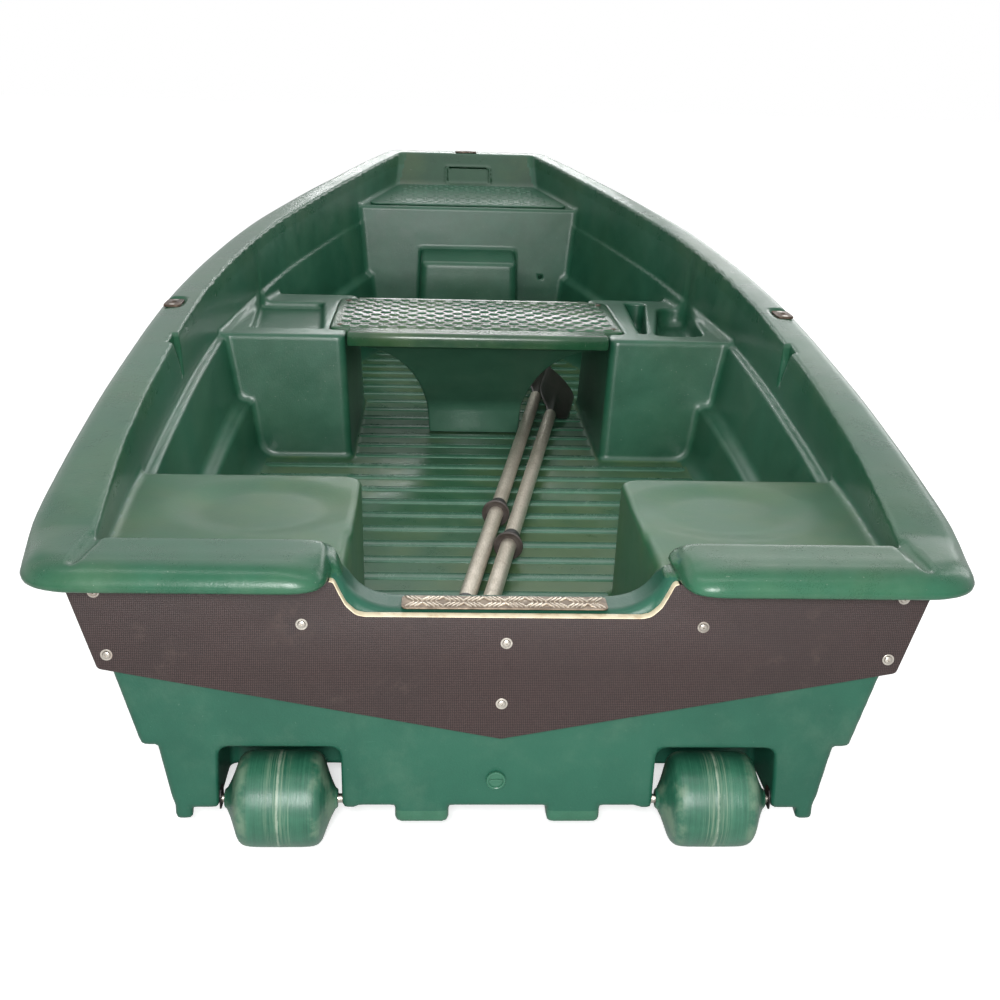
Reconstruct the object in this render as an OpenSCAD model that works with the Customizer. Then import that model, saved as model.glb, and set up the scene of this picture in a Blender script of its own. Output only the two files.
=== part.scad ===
// Rotomoulded pram-bow rowing boat on two stern roller wheels, with thwart and oars.
// Millimetres, +Z up, +Y toward the bow, +X starboard. Ground plane z = 0.

/* [Hull] */
// overall length, stern rim to bow rim
hull_length = 3700; // [3080:10:4440]
// overall beam over the gunwales
beam = 1600; // [1340:10:1920]
// rim top above ground at the stern
stern_height = 545; // [500:5:610]
// rim top above ground at the bow
bow_height = 930; // [820:5:1060]
// cockpit floor rib top above ground
floor_height = 243; // [215:1:270]
// height of the rolled rim
rim_depth = 45; // [30:1:60]
// gap between neighbouring moulded regions
skin_gap = 0.4; // [0.2:0.1:1]

/* [Stern] */
// plywood pad thickness
pad_thickness = 18; // [12:1:24]
// half width of the motor notch at its floor
notch_half = 205; // [150:5:240]
// height of the notch floor above ground
notch_height = 448; // [400:2:470]
// stern seat top above ground
seat_height = 494; // [430:2:510]
// length of the stern seats forward of the transom
seat_length = 582; // [420:2:700]

/* [Thwart] */
// pedestal top above ground
pedestal_height = 576; // [500:1:600]
// inner faces of the pedestals, half spacing
pedestal_inner = 350; // [280:5:400]
// thwart plank thickness
plank_thickness = 30; // [20:1:40]
// thickness of the thwart leg
leg_thickness = 36; // [24:1:50]

/* [Wheels] */
// wheel radius at the middle of the barrel
wheel_radius = 82; // [68:1:90]
// wheel barrel width
wheel_width = 178; // [140:2:184]
// wheel centre from the midline
wheel_offset = 370; // [350:1:400]
// axle radius
axle_radius = 8; // [6:0.5:10]

/* [Oars] */
// oar overall length
oar_length = 2210; // [1880:10:2300]
// oar shaft radius
oar_radius = 17.5; // [14:0.5:19]
// oar blade width
blade_width = 130; // [110:2:160]

/* [Fittings] */
// radius of the oarlock socket bore
socket_bore = 6.5; // [5:0.25:8]

/* [Hidden] */
$fn = 64;
L = hull_length;
B2 = beam / 2;
fz = floor_height;
pz = floor_height - 8;
g = skin_gap;
sk = L / 3700;

// longitudinal position v mm forward of the transom face
function ya(v) = v - L / 2 + 80;
// position at a fraction u of the length
function yu(u) = u * L - L / 2;
function U(y) = (y + L / 2) / L;

HB = [[0, 0.895], [0.0054, 0.934], [0.0122, 0.951], [0.0216, 0.961], [0.0892, 0.985],
      [0.1568, 0.995], [0.2378, 1], [0.3189, 1], [0.4, 0.994], [0.4811, 0.971],
      [0.5622, 0.93], [0.6432, 0.868], [0.7243, 0.776], [0.8054, 0.668], [0.84, 0.615],
      [0.8865, 0.553], [0.9203, 0.506], [0.9541, 0.455], [0.98, 0.417], [1, 0.388]];
SH = [[0, 0], [0.0216, 0], [0.0892, 0.079], [0.1568, 0.159], [0.2378, 0.25],
      [0.3189, 0.328], [0.4, 0.402], [0.4811, 0.475], [0.5622, 0.549], [0.6432, 0.63],
      [0.7243, 0.714], [0.8054, 0.802], [0.84, 0.841], [0.8865, 0.888], [0.9203, 0.923],
      [0.9541, 0.955], [1, 1]];
// rocker of the flat bottom
ZB = [[0, 73], [0.068, 73], [0.1568, 62], [0.2919, 50], [0.4, 40], [0.4811, 32],
      [0.5622, 28], [0.6432, 27], [0.7243, 42], [0.8054, 80], [0.84, 105], [0.8865, 160],
      [0.9203, 240], [0.9541, 370], [0.98, 560], [0.9946, 735], [1, 760]];
// flare of the topsides
FL = [[0, 0.29], [0.1568, 0.28], [0.3, 0.28], [0.45, 0.255], [0.6432, 0.19],
      [0.84, 0.128], [1, 0.128]];
// rim width
RW = [[0, 118], [0.05, 116], [0.16, 100], [0.4, 92], [0.5, 94], [0.65, 98], [0.84, 96], [1, 98]];
// distance of the inner wall below the rim from the outer edge
WI = [[0, 142], [0.05, 140], [0.16, 124], [0.4, 112], [0.65, 104], [0.84, 101], [1, 103]];
// rim overhang beyond the topsides
OV = [[0, 94], [0.1, 80], [0.2, 64], [0.3, 55], [0.65, 46], [0.84, 38], [1, 34]];
// side ledge widths and wall slope
LB = [[0, 33], [0.45, 33], [0.84, 19], [1, 16]];
WS = [[0, 0.19], [0.45, 0.19], [0.84, 0.09], [1, 0.08]];

function hb(y) = B2 * lookup(U(y), HB);
function sh(y) = stern_height + (bow_height - stern_height) * lookup(U(y), SH);
function zb(y) = lookup(U(y), ZB);
function gi(y) = hb(y) - lookup(U(y), RW);
function xt(y) = hb(y) - lookup(U(y), OV);
// outer topside half breadth at height z
function xo(y, z) = xt(y) - lookup(U(y), FL) * (sh(y) - rim_depth - z);
// lowest height of the topside region
function zl(y) = max(pz + g, zb(y) + g);
function za(y) = max(sh(y) - 128 - 48 * U(y), zl(y) + 55);
function zbb(y) = max(sh(y) - 279 - 98 * U(y), zl(y) + 24);
function x1(y) = hb(y) - lookup(U(y), WI);
function x2(y) = x1(y) - lookup(U(y), WS) * (za(y) - zbb(y));
function x3(y) = x2(y) - lookup(U(y), LB);
function x4(y) = x3(y) - 0.16 * (zbb(y) - zl(y) - 14);
function fw(y) = x4(y) - 22;

// solid through a list of [y, [[x, z], ...]] sections, counter-clockwise seen from the stern
module loft(s) {
    n = len(s[0][1]);
    m = len(s);
    p = [for (t = s) for (q = t[1]) [q[0], t[0], q[1]]];
    f = concat(
        [[for (j = [n - 1 : -1 : 0]) j]],
        [[for (j = [0 : n - 1]) (m - 1) * n + j]],
        [for (i = [0 : m - 2]) for (j = [0 : n - 1])
            [i * n + j, i * n + (j + 1) % n, (i + 1) * n + (j + 1) % n]],
        [for (i = [0 : m - 2]) for (j = [0 : n - 1])
            [i * n + j, (i + 1) * n + (j + 1) % n, (i + 1) * n + j]]);
    polyhedron(points = p, faces = f, convexity = 6);
}

// prism along X from x0 to x1 of a [y, z] outline
module barx(xa, xb, pts) {
    translate([xa, 0, 0]) rotate([90, 0, 90]) linear_extrude(height = xb - xa, convexity = 6) polygon(pts);
}

// prism along Y from ya to yb of an [x, z] outline
module bary(y0, y1, pts) {
    translate([0, y1, 0]) rotate([90, 0, 0]) linear_extrude(height = y1 - y0, convexity = 6) polygon(pts);
}

function mirror_pts(p) = concat(p, [for (i = [len(p) - 1 : -1 : 0]) [-p[i][0], p[i][1]]]);

us_all = [0.0892, 0.1568, 0.2378, 0.3189, 0.4, 0.4811, 0.5622, 0.6432, 0.7243, 0.8054,
          0.84, 0.8865, 0.9203, 0.9541, 0.98, 0.9946];
us_rim = concat([0, 0.0054, 0.0122, 0.0216], [for (u = us_all) if (u < 0.99) u], [1]);
us_bot = concat([for (u = us_all) if (u < 0.9) u], [0.909]);
yl = yu(0.84);
y_fore = ya(165);
y_step = 197;

function bottom_pts(y) =
    let (zs = min(max(y_step, zb(y) + 10), pz - 6), xs = xo(y, zs) - 30,
         xf = xs - 0.19 * (zs - zb(y)))
    [[-xf, zb(y)], [xf, zb(y)], [xs, zs], [xs + 30, zs + 3], [xo(y, pz), pz],
     [-xo(y, pz), pz], [-xs - 30, zs + 3], [-xs, zs]];

module hull_bottom() {
    color("#2f6b50")
    loft([for (y = concat([y_fore + g], [for (u = us_bot) yu(u)])) [y, bottom_pts(y)]]);
}

// lower stern between and outside the wheel recesses
module stern_bottom() {
    z0 = zb(ya(50));
    color("#2f6b50")
    bary(ya(95) + g, y_fore, mirror_pts([[265, z0], [276, 193], [474, 193], [474, z0],
        [536, z0], [561, 197], [591, 200], [xo(ya(165), pz), pz]]));
}

module keel_strip(y0, s) {
    us = [for (u = us_all) if (u > 0.09 && u < 0.81) u];
    loft([for (y = concat([y0], [for (u = us) yu(u)]))
        let (z = zb(y) - g, d = y > yu(0.8) ? 3 : 27)
        [y, [[88, z + g - d], [172, z + g - d], [176, z], [84, z]]]]);
}

module keel_strip_starboard() {
    color("#2a6249") keel_strip(ya(12));
}

module keel_strip_port() {
    color("#2a6249") mirror([1, 0, 0]) keel_strip(ya(12));
}

module chine_rail() {
    us = [for (u = us_all) if (u < 0.81) u];
    loft([for (y = concat([y_fore + g], [for (u = us) yu(u)]))
        let (p = bottom_pts(y), z = zb(y) - g)
        [y, [[p[1][0] - 23, z - 14], [p[1][0] - 3, z - 14], [p[1][0], z], [p[1][0] - 26, z]]]]);
}

module chine_rail_starboard() {
    color("#2a6249") chine_rail();
}

module chine_rail_port() {
    color("#2a6249") mirror([1, 0, 0]) chine_rail();
}

// moulded transom with the wheel recess mouths and the motor notch
module transom() {
    zt = stern_height - rim_depth - g;
    z0 = zb(ya(50));
    tx = xo(ya(10), zt);
    color("#3a7a5e")
    difference() {
        bary(ya(pad_thickness - 7) + g, ya(95), mirror_pts([[265, z0], [276, 193], [474, 193], [474, z0],
            [516, z0], [516, 58], [536, 58], [561, 197], [591, 200], [tx, zt],
            [notch_half + 66, zt], [notch_half + 52, zt - 24], [notch_half + 36, notch_height + 4],
            [notch_half + 12, notch_height - 4 - g]]));
        for (s = [-1, 1]) translate([s * 240, ya(37), wheel_radius]) rotate([0, 90 * s, 0])
            cylinder(r = axle_radius + 0.05, h = 280);
        translate([-5, ya(0), 133]) rotate([-90, 0, 0]) cylinder(r = 12.05, h = 75);
    }
}

// film-faced plywood pad on the outside of the transom
module transom_pad() {
    zt = stern_height - rim_depth - g;
    color("#4a3c3c")
    difference() {
        bary(ya(-7), ya(pad_thickness - 7), mirror_pts([[0, 220], [649, 344], [697, zt],
            [notch_half + 70, zt], [notch_half + 60, zt - 22], [notch_half + 50, notch_height + 10],
            [notch_half + 34, notch_height - 5], [notch_half + 20, notch_height - 8], [0, notch_height - 8]]));
    }
}

module tread_strip() {
    color("#b8b6ae")
    bary(ya(13), ya(66), [[-162, notch_height - 4], [168, notch_height - 4], [172, notch_height],
        [-167, notch_height]]);
}

module drain_plug() {
    color("#2b5f49")
    translate([-5, ya(pad_thickness - 7) + g, 133]) rotate([-90, 0, 0]) {
        cylinder(r = 12, h = 50);
        translate([0, 0, -6]) cylinder(r = 16.5, h = 6);
    }
}

x_corner = gi(ya(76)) - 1;
function rim_pts(y) =
    let (s = sh(y), b = hb(y), i = y < ya(75) ? x_corner : gi(y), d = rim_depth)
    [[i, s - d], [b - 14, s - d], [b - 3, s - d + 9], [b, s - d + 21], [b - 5, s - 12],
     [b - 20, s - 3], [(b + i) / 2, s], [i + 10, s - 2], [i, s - 12]];

y_lock = yu(0.393);
x_lock = hb(y_lock) - 28;
z_lock = sh(y_lock) - 5;

// fractions of the length where the long mouldings are divided
cut_a = 0.4;
cut_b = 0.5622;
cut_c = 0.6432;

module gunwale_aft_starboard() {
    ys = concat([for (u = us_rim) if (u < 0.03) yu(u)], [ya(76)],
        [for (u = us_rim) if (u > 0.05 && u < cut_b + 0.001) yu(u)]);
    color("#3f8062")
    difference() {
        loft([for (y = ys) [y, rim_pts(y)]]);
        translate([x_lock, y_lock, z_lock - 60]) cylinder(r = 12.05, h = 94);
        translate([x_lock - 22, y_lock - 43, z_lock - 5]) cube([80, 86, 30]);
    }
}

module gunwale_aft_port() {
    mirror([1, 0, 0]) gunwale_aft_starboard();
}

module gunwale_fore_starboard() {
    ys = concat([yu(cut_b) + g], [for (u = us_rim) if (u > cut_b + 0.001) yu(u)]);
    color("#3f8062")
    loft([for (y = ys) [y, rim_pts(y)]]);
}

module gunwale_fore_port() {
    mirror([1, 0, 0]) gunwale_fore_starboard();
}

// topside with its two inner ledges, between fractions a and b of the length
module side_wall(y0, a, b) {
    ys = concat([y0], [for (u = us_all) if (u > a + 0.001 && u < b + 0.001) yu(u)]);
    color("#2f6b50")
    loft([for (y = ys) let (t = sh(y) - rim_depth - g)
        [y, [[fw(y), zl(y)], [xo(y, zl(y)), zl(y)], [xt(y), t], [gi(y), t],
             [gi(y) - 2, za(y)], [x1(y), za(y) - 4], [x2(y), zbb(y)],
             [x3(y), zbb(y) - 6], [x4(y), zl(y) + 14]]]]);
}

module side_aft_starboard() {
    side_wall(ya(95) + g, 0.07, cut_a);
}

module side_aft_port() {
    mirror([1, 0, 0]) side_aft_starboard();
}

module side_mid_starboard() {
    side_wall(yu(cut_a) + g, cut_a, cut_c);
}

module side_mid_port() {
    mirror([1, 0, 0]) side_mid_starboard();
}

module side_fore_starboard() {
    side_wall(yu(cut_c) + g, cut_c, 0.9946);
}

module side_fore_port() {
    mirror([1, 0, 0]) side_fore_starboard();
}

// rolled rim across the stern between the gunwale and the notch
module stern_rim_starboard() {
    s = stern_height;
    d = rim_depth;
    color("#3f8062")
    barx(notch_half + 67, x_corner - g, [[ya(-62), s - d], [ya(-74), s - d + 10],
        [ya(-80), s - d + 22], [ya(-74), s - 14], [ya(-56), s - 3], [ya(-10), s],
        [ya(56), s - 3], [ya(70), s - 12], [ya(74), s - d]]);
}

module stern_rim_port() {
    mirror([1, 0, 0]) stern_rim_starboard();
}

z_bow = bow_height - 6;

module bow_rim() {
    s = bow_height;
    d = rim_depth;
    color("#3f8062")
    difference() {
        barx(-gi(yu(1)) + g, gi(yu(1)) - g, [[yu(1) - 104, s - d], [yu(1) - 12, s - d],
            [yu(1) - 2, s - d + 12], [yu(1), s - d + 22], [yu(1) - 6, s - 12], [yu(1) - 20, s - 4],
            [yu(1) - 60, s - 1], [yu(1) - 100, s - 8], [yu(1) - 104, s - 16]]);
        translate([-2, yu(1) - 56, z_bow - 60]) cylinder(r = 12.05, h = 94);
        translate([-45, yu(1) - 78, z_bow - 5]) cube([86, 44, 30]);
    }
}

function deck_z(y) = bow_height - 173 + 0.1 * (y - yl);
yp = yu(0.9497);

// bow panel rising from the deck to the rim
module bow_panel() {
    ys = [yp, yu(0.9676), yu(0.98), yu(0.9946)];
    color("#2f6b50")
    loft([for (y = ys) let (t = y < yp + 5 ? deck_z(y) + 4 : sh(y) - rim_depth - 2, b = deck_z(y) + g,
        i = gi(y) - 2.5 - g)
        [y, [[-i, b], [i, b], [i, t], [-i, t]]]]);
}

// raised buoyant locker filling the bow
module bow_locker() {
    us = [for (u = us_all) if (u > 0.83) u];
    color("#2f6b50")
    loft([for (u = us) let (y = yu(u), d = deck_z(y), k = g + 0.6, a = za(y), c = zbb(y), l = zl(y),
        xd = gi(y) - 2 - k)
        [y, concat([for (q = [[fw(y) - k, l], [x4(y) - k, l + 14], [x3(y) - k, c - 6],
             [x2(y) - k, c + 0.6], [x1(y) - k, a - 3], [xd, a + 1], [xd, d]]) q],
             [for (q = [[xd, d], [xd, a + 1], [x1(y) - k, a - 3], [x2(y) - k, c + 0.6],
             [x3(y) - k, c - 6], [x4(y) - k, l + 14], [fw(y) - k, l]]) [-q[0], q[1]]])]]);
}

// raised non-slip panel on the locker top
module locker_deck() {
    y0 = yl + 34;
    y1 = yp - 12;
    z0 = deck_z(y0) + g;
    color("#35705a")
    loft([for (y = [y0, y1]) let (x = (y < y1 ? 0.95 : 0.96) * gi(y), z = deck_z(y) + g)
        [y, [[-x, z], [x, z], [x - 5, z + 8], [5 - x, z + 8]]]]);
}

// raised box against the locker face
module locker_step() {
    color("#2f6b50")
    translate([0, 0, fz + g])
    bary(yl - 200 * sk, yl - g, [[-182, 0], [182, 0], [174, 330], [164, 346], [-164, 346], [-174, 330]]);
}

// cockpit sole with raised cross ribs
module floor_ribs() {
    y0 = ya(95) + g;
    n = floor((yl - y0 - 60) / 100.9);
    prof = concat([[y0, pz + g], [yl - g, pz + g], [yl - g, fz - 4]],
        [for (i = [n - 1 : -1 : 0]) for (q = [[86, fz - 4], [80, fz], [52, fz], [46, fz - 4]])
            [y0 + 10 + i * 100.9 + q[0], q[1]]],
        [[y0, fz - 4]]);
    plan = concat([for (y = [y0, yu(0.1568), yu(0.3189), yu(0.4811), yu(0.5622), yu(0.6432), yu(0.7243),
        yu(0.8054), yl - g]) [fw(y) - 2 * g - 1.5, y]]);
    color("#3a7455")
    intersection() {
        barx(-B2, B2, prof);
        translate([0, 0, pz - 10]) linear_extrude(height = 40) polygon(mirror_pts(plan));
    }
}

// outline of a moulded block that meets the side wall, up to height t
function against_wall(y, xi0, xi1, t) =
    let (k = g + 0.6, a = za(y), c = zbb(y), l = zl(y), m = lookup(U(y), WS),
         hi = t > a + 12,
         xw = hi ? gi(y) - 2 - k : x2(y) - k + (x1(y) - x2(y)) * (t - c) / (a - 4 - c))
    [[xi0, fz + g], [fw(y) + 9, fz + g], [x4(y) - k, l + 15], [x3(y) - k, c - 6],
     [x2(y) - k, c + 0.6], [hi ? x1(y) - k : xw - 0.3, hi ? a - 3 : t - 2],
     [xw, hi ? a + 1 : t - 1], [xw, t], [xi1, t]];

module stern_seat_starboard() {
    ys = [ya(95) + g, yu(0.0892),
        yu(0.1568) < ya(seat_length) - 20 ? yu(0.1568) : ya(seat_length - 60), ya(seat_length)];
    color("#3a7a5e")
    loft([for (y = ys) [y, against_wall(y, 250, 259, seat_height)]]);
}

module stern_seat_port() {
    mirror([1, 0, 0]) stern_seat_starboard();
}

y_ped0 = yu(0.4459);
y_ped1 = yu(0.616);
y_pl0 = y_ped0 - 6;
y_pl1 = yu(0.596);
plank_top = pedestal_height + 5;

module pedestal() {
    ys = [y_ped0, yu(0.4811), yu(0.5622), y_ped1];
    difference() {
        loft([for (y = ys) [y, against_wall(y, pedestal_inner - 10, pedestal_inner + 8, pedestal_height)]]);
        translate([pedestal_inner - 60, y_ped0 + 82, plank_top - plank_thickness - 0.5])
            cube([116, y_pl1 - y_ped0 - 100, 60]);
    }
}

module pedestal_starboard() {
    color("#2f6b50")
    difference() {
        pedestal();
        translate([pedestal_inner, y_ped0 + 88, pedestal_height - 85]) linear_extrude(height = 120)
            polygon([[98, 0], [114, 0], [185, 500 * sk], [118, 500 * sk]]);
        translate([pedestal_inner, y_ped0 + 72, pedestal_height - 60]) linear_extrude(height = 100)
            polygon([[138, 0], [276, 0], [300, 430 * sk], [209, 430 * sk]]);
    }
}

module pedestal_port() {
    color("#2f6b50")
    mirror([1, 0, 0])
    difference() {
        pedestal();
        translate([pedestal_inner, y_ped0 + 92, pedestal_height - 22]) linear_extrude(height = 100)
            polygon([[74, 0], [266, 0], [292, 400 * sk], [104, 400 * sk]]);
    }
}

// removable plank with rolled edges that drops between the pedestals
module thwart() {
    t = plank_top;
    x0 = pedestal_inner + 2;
    color("#2f6b50")
    union() {
        barx(-x0, x0, [[y_pl0 + 4, t - 34], [y_pl0 + 26, t - 34], [y_pl0 + 30, t - plank_thickness],
            [y_pl1 - 30, t - plank_thickness], [y_pl1 - 26, t - 34], [y_pl1 - 4, t - 34],
            [y_pl1, t - 28], [y_pl1, t - 3], [y_pl1 - 4, t], [y_pl0 + 8, t],
            [y_pl0, t - 6], [y_pl0, t - 28]]);
        translate([-pedestal_inner - 54, y_ped0 + 84, t - plank_thickness])
            cube([2 * pedestal_inner + 108, y_pl1 - y_ped0 - 104, plank_thickness]);
    }
}

module thwart_tread() {
    color("#35705a")
    translate([-pedestal_inner - 50, y_ped0 + 88, plank_top + 0.1])
        cube([2 * pedestal_inner + 100, y_pl1 - y_ped0 - 112, 3]);
}

// concave-sided leg, as deep as the plank at the top and narrow at the sole
module thwart_leg() {
    t = plank_top - plank_thickness - g;
    h = t - fz - g;
    yc = (y_pl0 + y_pl1) / 2;
    w = pedestal_inner - 14;
    leg_flare = zo + oar_radius + 35;
    side = [[w * 0.386, 0], [w * 0.39, 0.03], [w * 0.43, 0.36], [w * 0.5, 0.585], [w * 0.625, 0.785],
            [w * 0.82, 0.93], [w, 0.985], [w, 1]];
    color("#2f6b50")
    intersection() {
        bary(y_pl0 + 32, y_pl1 - 32, mirror_pts([for (q = side) [q[0], fz + g + h * q[1]]]));
        barx(-w, w, [[yc - leg_thickness / 2, fz + g], [yc + leg_thickness / 2, fz + g],
            [yc + leg_thickness / 2, leg_flare], [y_pl1 - 32, t], [y_pl0 + 32, t],
            [yc - leg_thickness / 2, leg_flare]]);
    }
}

module wheel() {
    w = wheel_width / 2;
    r = wheel_radius;
    color("#2f6b50")
    rotate([0, 90, 0])
    rotate_extrude($fn = 96)
    polygon([[axle_radius + 0.05, -w - 7], [axle_radius + 8, -w - 7], [r * 0.4, -w + 5], [r - 15, -w + 22],
        [r - 8, -w + 27], [r - 3, -w + 34], [r - 1, -w + 44], [r, -8], [r, 8], [r - 1, w - 44],
        [r - 3, w - 34], [r - 8, w - 27], [r - 15, w - 22], [r * 0.4, w - 5], [axle_radius + 8, w + 7],
        [axle_radius + 0.05, w + 7]]);
}

module wheel_starboard() {
    translate([wheel_offset, ya(37), wheel_radius]) wheel();
}

module wheel_port() {
    translate([-wheel_offset, ya(37), wheel_radius]) wheel();
}

module axle_starboard() {
    color("#8a8680")
    translate([244, ya(37), wheel_radius]) rotate([0, 90, 0]) cylinder(r = axle_radius, h = 272);
}

module axle_port() {
    mirror([1, 0, 0]) axle_starboard();
}

// oblong plate with a tube that takes the pin of an oarlock
module socket(tube) {
    difference() {
        union() {
            translate([0, 0, -tube]) cylinder(r = 12, h = tube - 4);
            translate([-21, -42, -4.9]) cube([42, 84, 5]);
        }
        translate([0, 0, -60]) cylinder(r = socket_bore, h = 80);
    }
}

module oarlock_socket_starboard() {
    color("#5a5048") translate([x_lock, y_lock, z_lock]) socket(38);
}

module oarlock_socket_port() {
    color("#5a5048") translate([-x_lock, y_lock, z_lock]) socket(38);
}

// the same plate and tube let into the middle of the bow rim
module bow_socket() {
    color("#8a8680")
    translate([-2, yu(1) - 56, z_bow]) rotate([0, 0, 90]) socket(34);
}

// places an oar with its grip end at (x, y, z) and its blade end dz higher
module lay_oar(x, y, z, ang, lift) {
    translate([x, y, z]) rotate([lift, 0, -ang]) rotate([-90, 0, 0]) children();
}

blade_len = 450;
blade_at = oar_length - blade_len;
collar_at = 640;
zo = fz + oar_radius + 11.5;

module oar_shaft() {
    cylinder(r = oar_radius, h = blade_at);
}

module oar_grip() {
    rotate_extrude($fn = 48) polygon([[oar_radius + 0.05, 3], [oar_radius + 2.5, 3],
        [oar_radius + 2.5, 108], [oar_radius + 0.05, 112]]);
}

module oar_collar() {
    translate([0, 0, collar_at])
    rotate_extrude($fn = 48) polygon([[oar_radius + 0.05, 0], [oar_radius + 15, 0], [oar_radius + 15, 9],
        [oar_radius + 3, 15], [oar_radius + 3, 62], [oar_radius + 0.05, 62]]);
}

module oar_blade(tilt) {
    w = blade_width / 2;
    translate([0, 0, blade_at + 0.2])
    rotate([0, 0, tilt])
    union() {
        translate([0, 3.5, 0]) rotate([90, 0, 0]) linear_extrude(height = 7)
            polygon([[-14, 0], [14, 0], [w * 0.6, 60], [w, 150], [w, blade_len - 50], [w - 18, blade_len - 8],
                [w - 40, blade_len], [40 - w, blade_len], [18 - w, blade_len - 8], [-w, blade_len - 50],
                [-w, 150], [-w * 0.6, 60]]);
        cylinder(r = 11, h = 200);
    }
}

ax = 8.7;
bx = 9.2;
lift = 0.55;
blade_tilt = 45;

module oar_port_shaft() {
    color("#b0aca0") lay_oar(-67, ya(349), zo, ax, lift) oar_shaft();
}

module oar_port_grip() {
    color("#1c1c1c") lay_oar(-67, ya(349), zo, ax, lift) oar_grip();
}

module oar_port_collar() {
    color("#1c1c1c") lay_oar(-67, ya(349), zo, ax, lift) oar_collar();
}

module oar_port_blade() {
    color("#2a2220") lay_oar(-67, ya(349), zo, ax, lift) oar_blade(blade_tilt);
}

module oar_starboard_shaft() {
    color("#b0aca0") lay_oar(-54, ya(130), zo, bx, lift) oar_shaft();
}

module oar_starboard_grip() {
    color("#1c1c1c") lay_oar(-54, ya(130), zo, bx, lift) oar_grip();
}

module oar_starboard_collar() {
    color("#1c1c1c") lay_oar(-54, ya(130), zo, bx, lift) oar_collar();
}

module oar_starboard_blade() {
    color("#2a2220") lay_oar(-54, ya(130), zo, bx, lift) oar_blade(blade_tilt);
}

hull_bottom();
stern_bottom();
keel_strip_port();
keel_strip_starboard();
chine_rail_port();
chine_rail_starboard();
transom();
side_aft_port();
side_mid_port();
side_fore_port();
side_aft_starboard();
side_mid_starboard();
side_fore_starboard();
gunwale_aft_port();
gunwale_fore_port();
gunwale_aft_starboard();
gunwale_fore_starboard();
stern_rim_port();
stern_rim_starboard();
bow_rim();
bow_panel();
bow_locker();
locker_deck();
locker_step();
floor_ribs();
stern_seat_port();
stern_seat_starboard();
pedestal_port();
pedestal_starboard();
thwart();
thwart_tread();
thwart_leg();
transom_pad();
tread_strip();
drain_plug();
wheel_port();
wheel_starboard();
axle_port();
axle_starboard();
oarlock_socket_port();
oarlock_socket_starboard();
bow_socket();
oar_port_shaft();
oar_port_grip();
oar_port_collar();
oar_port_blade();
oar_starboard_shaft();
oar_starboard_grip();
oar_starboard_collar();
oar_starboard_blade();
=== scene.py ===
import math
import numpy as np
import bpy
import bmesh
from mathutils import Matrix, Vector


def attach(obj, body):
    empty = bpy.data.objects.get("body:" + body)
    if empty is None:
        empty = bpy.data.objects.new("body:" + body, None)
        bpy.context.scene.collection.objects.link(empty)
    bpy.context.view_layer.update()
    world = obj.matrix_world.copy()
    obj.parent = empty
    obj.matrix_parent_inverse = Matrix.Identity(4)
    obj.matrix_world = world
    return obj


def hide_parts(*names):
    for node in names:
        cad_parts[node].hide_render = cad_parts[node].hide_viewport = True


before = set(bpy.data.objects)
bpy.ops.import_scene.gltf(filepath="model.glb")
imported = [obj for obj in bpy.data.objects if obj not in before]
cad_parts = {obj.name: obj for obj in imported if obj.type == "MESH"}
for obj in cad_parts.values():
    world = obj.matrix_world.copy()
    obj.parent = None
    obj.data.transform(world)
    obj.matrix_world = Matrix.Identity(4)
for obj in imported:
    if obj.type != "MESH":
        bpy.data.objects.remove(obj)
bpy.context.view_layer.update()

# ---------------------------------------------------------------- hull lines
# The same lines as the solid model, in metres, each curve keyed by the fraction of the length.
LENGTH = 3.7
BEAM = 1.6
STERN_Z = 0.545
BOW_Z = 0.930
RIM_DEPTH = 0.045
FLOOR_Z = 0.243
PAN_Z = 0.235
SEAT_Z = 0.494
PEDESTAL_Z = 0.576
PLANK_Z = 0.581
NOTCH_Z = 0.448


def smooth_curve(keys):
    """Monotone cubic through (key, value) pairs, as a function of an array."""
    k = np.array(keys, float)
    x, v = k[:, 0], k[:, 1]
    h = np.diff(x)
    d = np.diff(v) / h
    m = np.zeros(len(x))
    for i in range(1, len(x) - 1):
        if d[i - 1] * d[i] > 0:
            a, b = 2 * h[i] + h[i - 1], h[i] + 2 * h[i - 1]
            m[i] = (a + b) / (a / d[i - 1] + b / d[i])
    m[0], m[-1] = d[0], d[-1]

    def curve(u):
        u = np.clip(u, x[0], x[-1])
        i = np.clip(np.searchsorted(x, u, side="right") - 1, 0, len(x) - 2)
        t = (u - x[i]) / h[i]
        return ((2 * t**3 - 3 * t**2 + 1) * v[i] + (t**3 - 2 * t**2 + t) * h[i] * m[i]
                + (3 * t**2 - 2 * t**3) * v[i + 1] + (t**3 - t**2) * h[i] * m[i + 1])
    return curve


half_curve = smooth_curve([
    (0, .955), (.0216, .966), (.0892, .985), (.1568, .995), (.2378, 1), (.3189, 1), (.4, .994),
    (.4811, .971), (.5622, .93), (.6432, .868), (.7243, .776), (.8054, .668), (.84, .615),
    (.8865, .553), (.9203, .506), (.9541, .455), (.98, .417), (1, .388)])
sheer_curve = smooth_curve([
    (0, 0), (.0216, .002), (.0892, .079), (.1568, .159), (.2378, .25), (.3189, .328), (.4, .402),
    (.4811, .475), (.5622, .549), (.6432, .63), (.7243, .714), (.8054, .802), (.84, .841),
    (.8865, .888), (.9203, .923), (.9541, .955), (1, 1)])
rocker_curve = smooth_curve([
    (0, .073), (.068, .073), (.1568, .062), (.2919, .05), (.4, .04), (.4811, .032), (.5622, .028),
    (.6432, .027), (.7243, .042), (.8054, .08), (.84, .105), (.8865, .16), (.9203, .24),
    (.9541, .37), (.98, .56), (.9946, .735), (1, .81)])
flare_curve = smooth_curve([(0, .29), (.1568, .28), (.3, .28), (.45, .255), (.6432, .19), (.84, .128),
                            (1, .128)])
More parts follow.
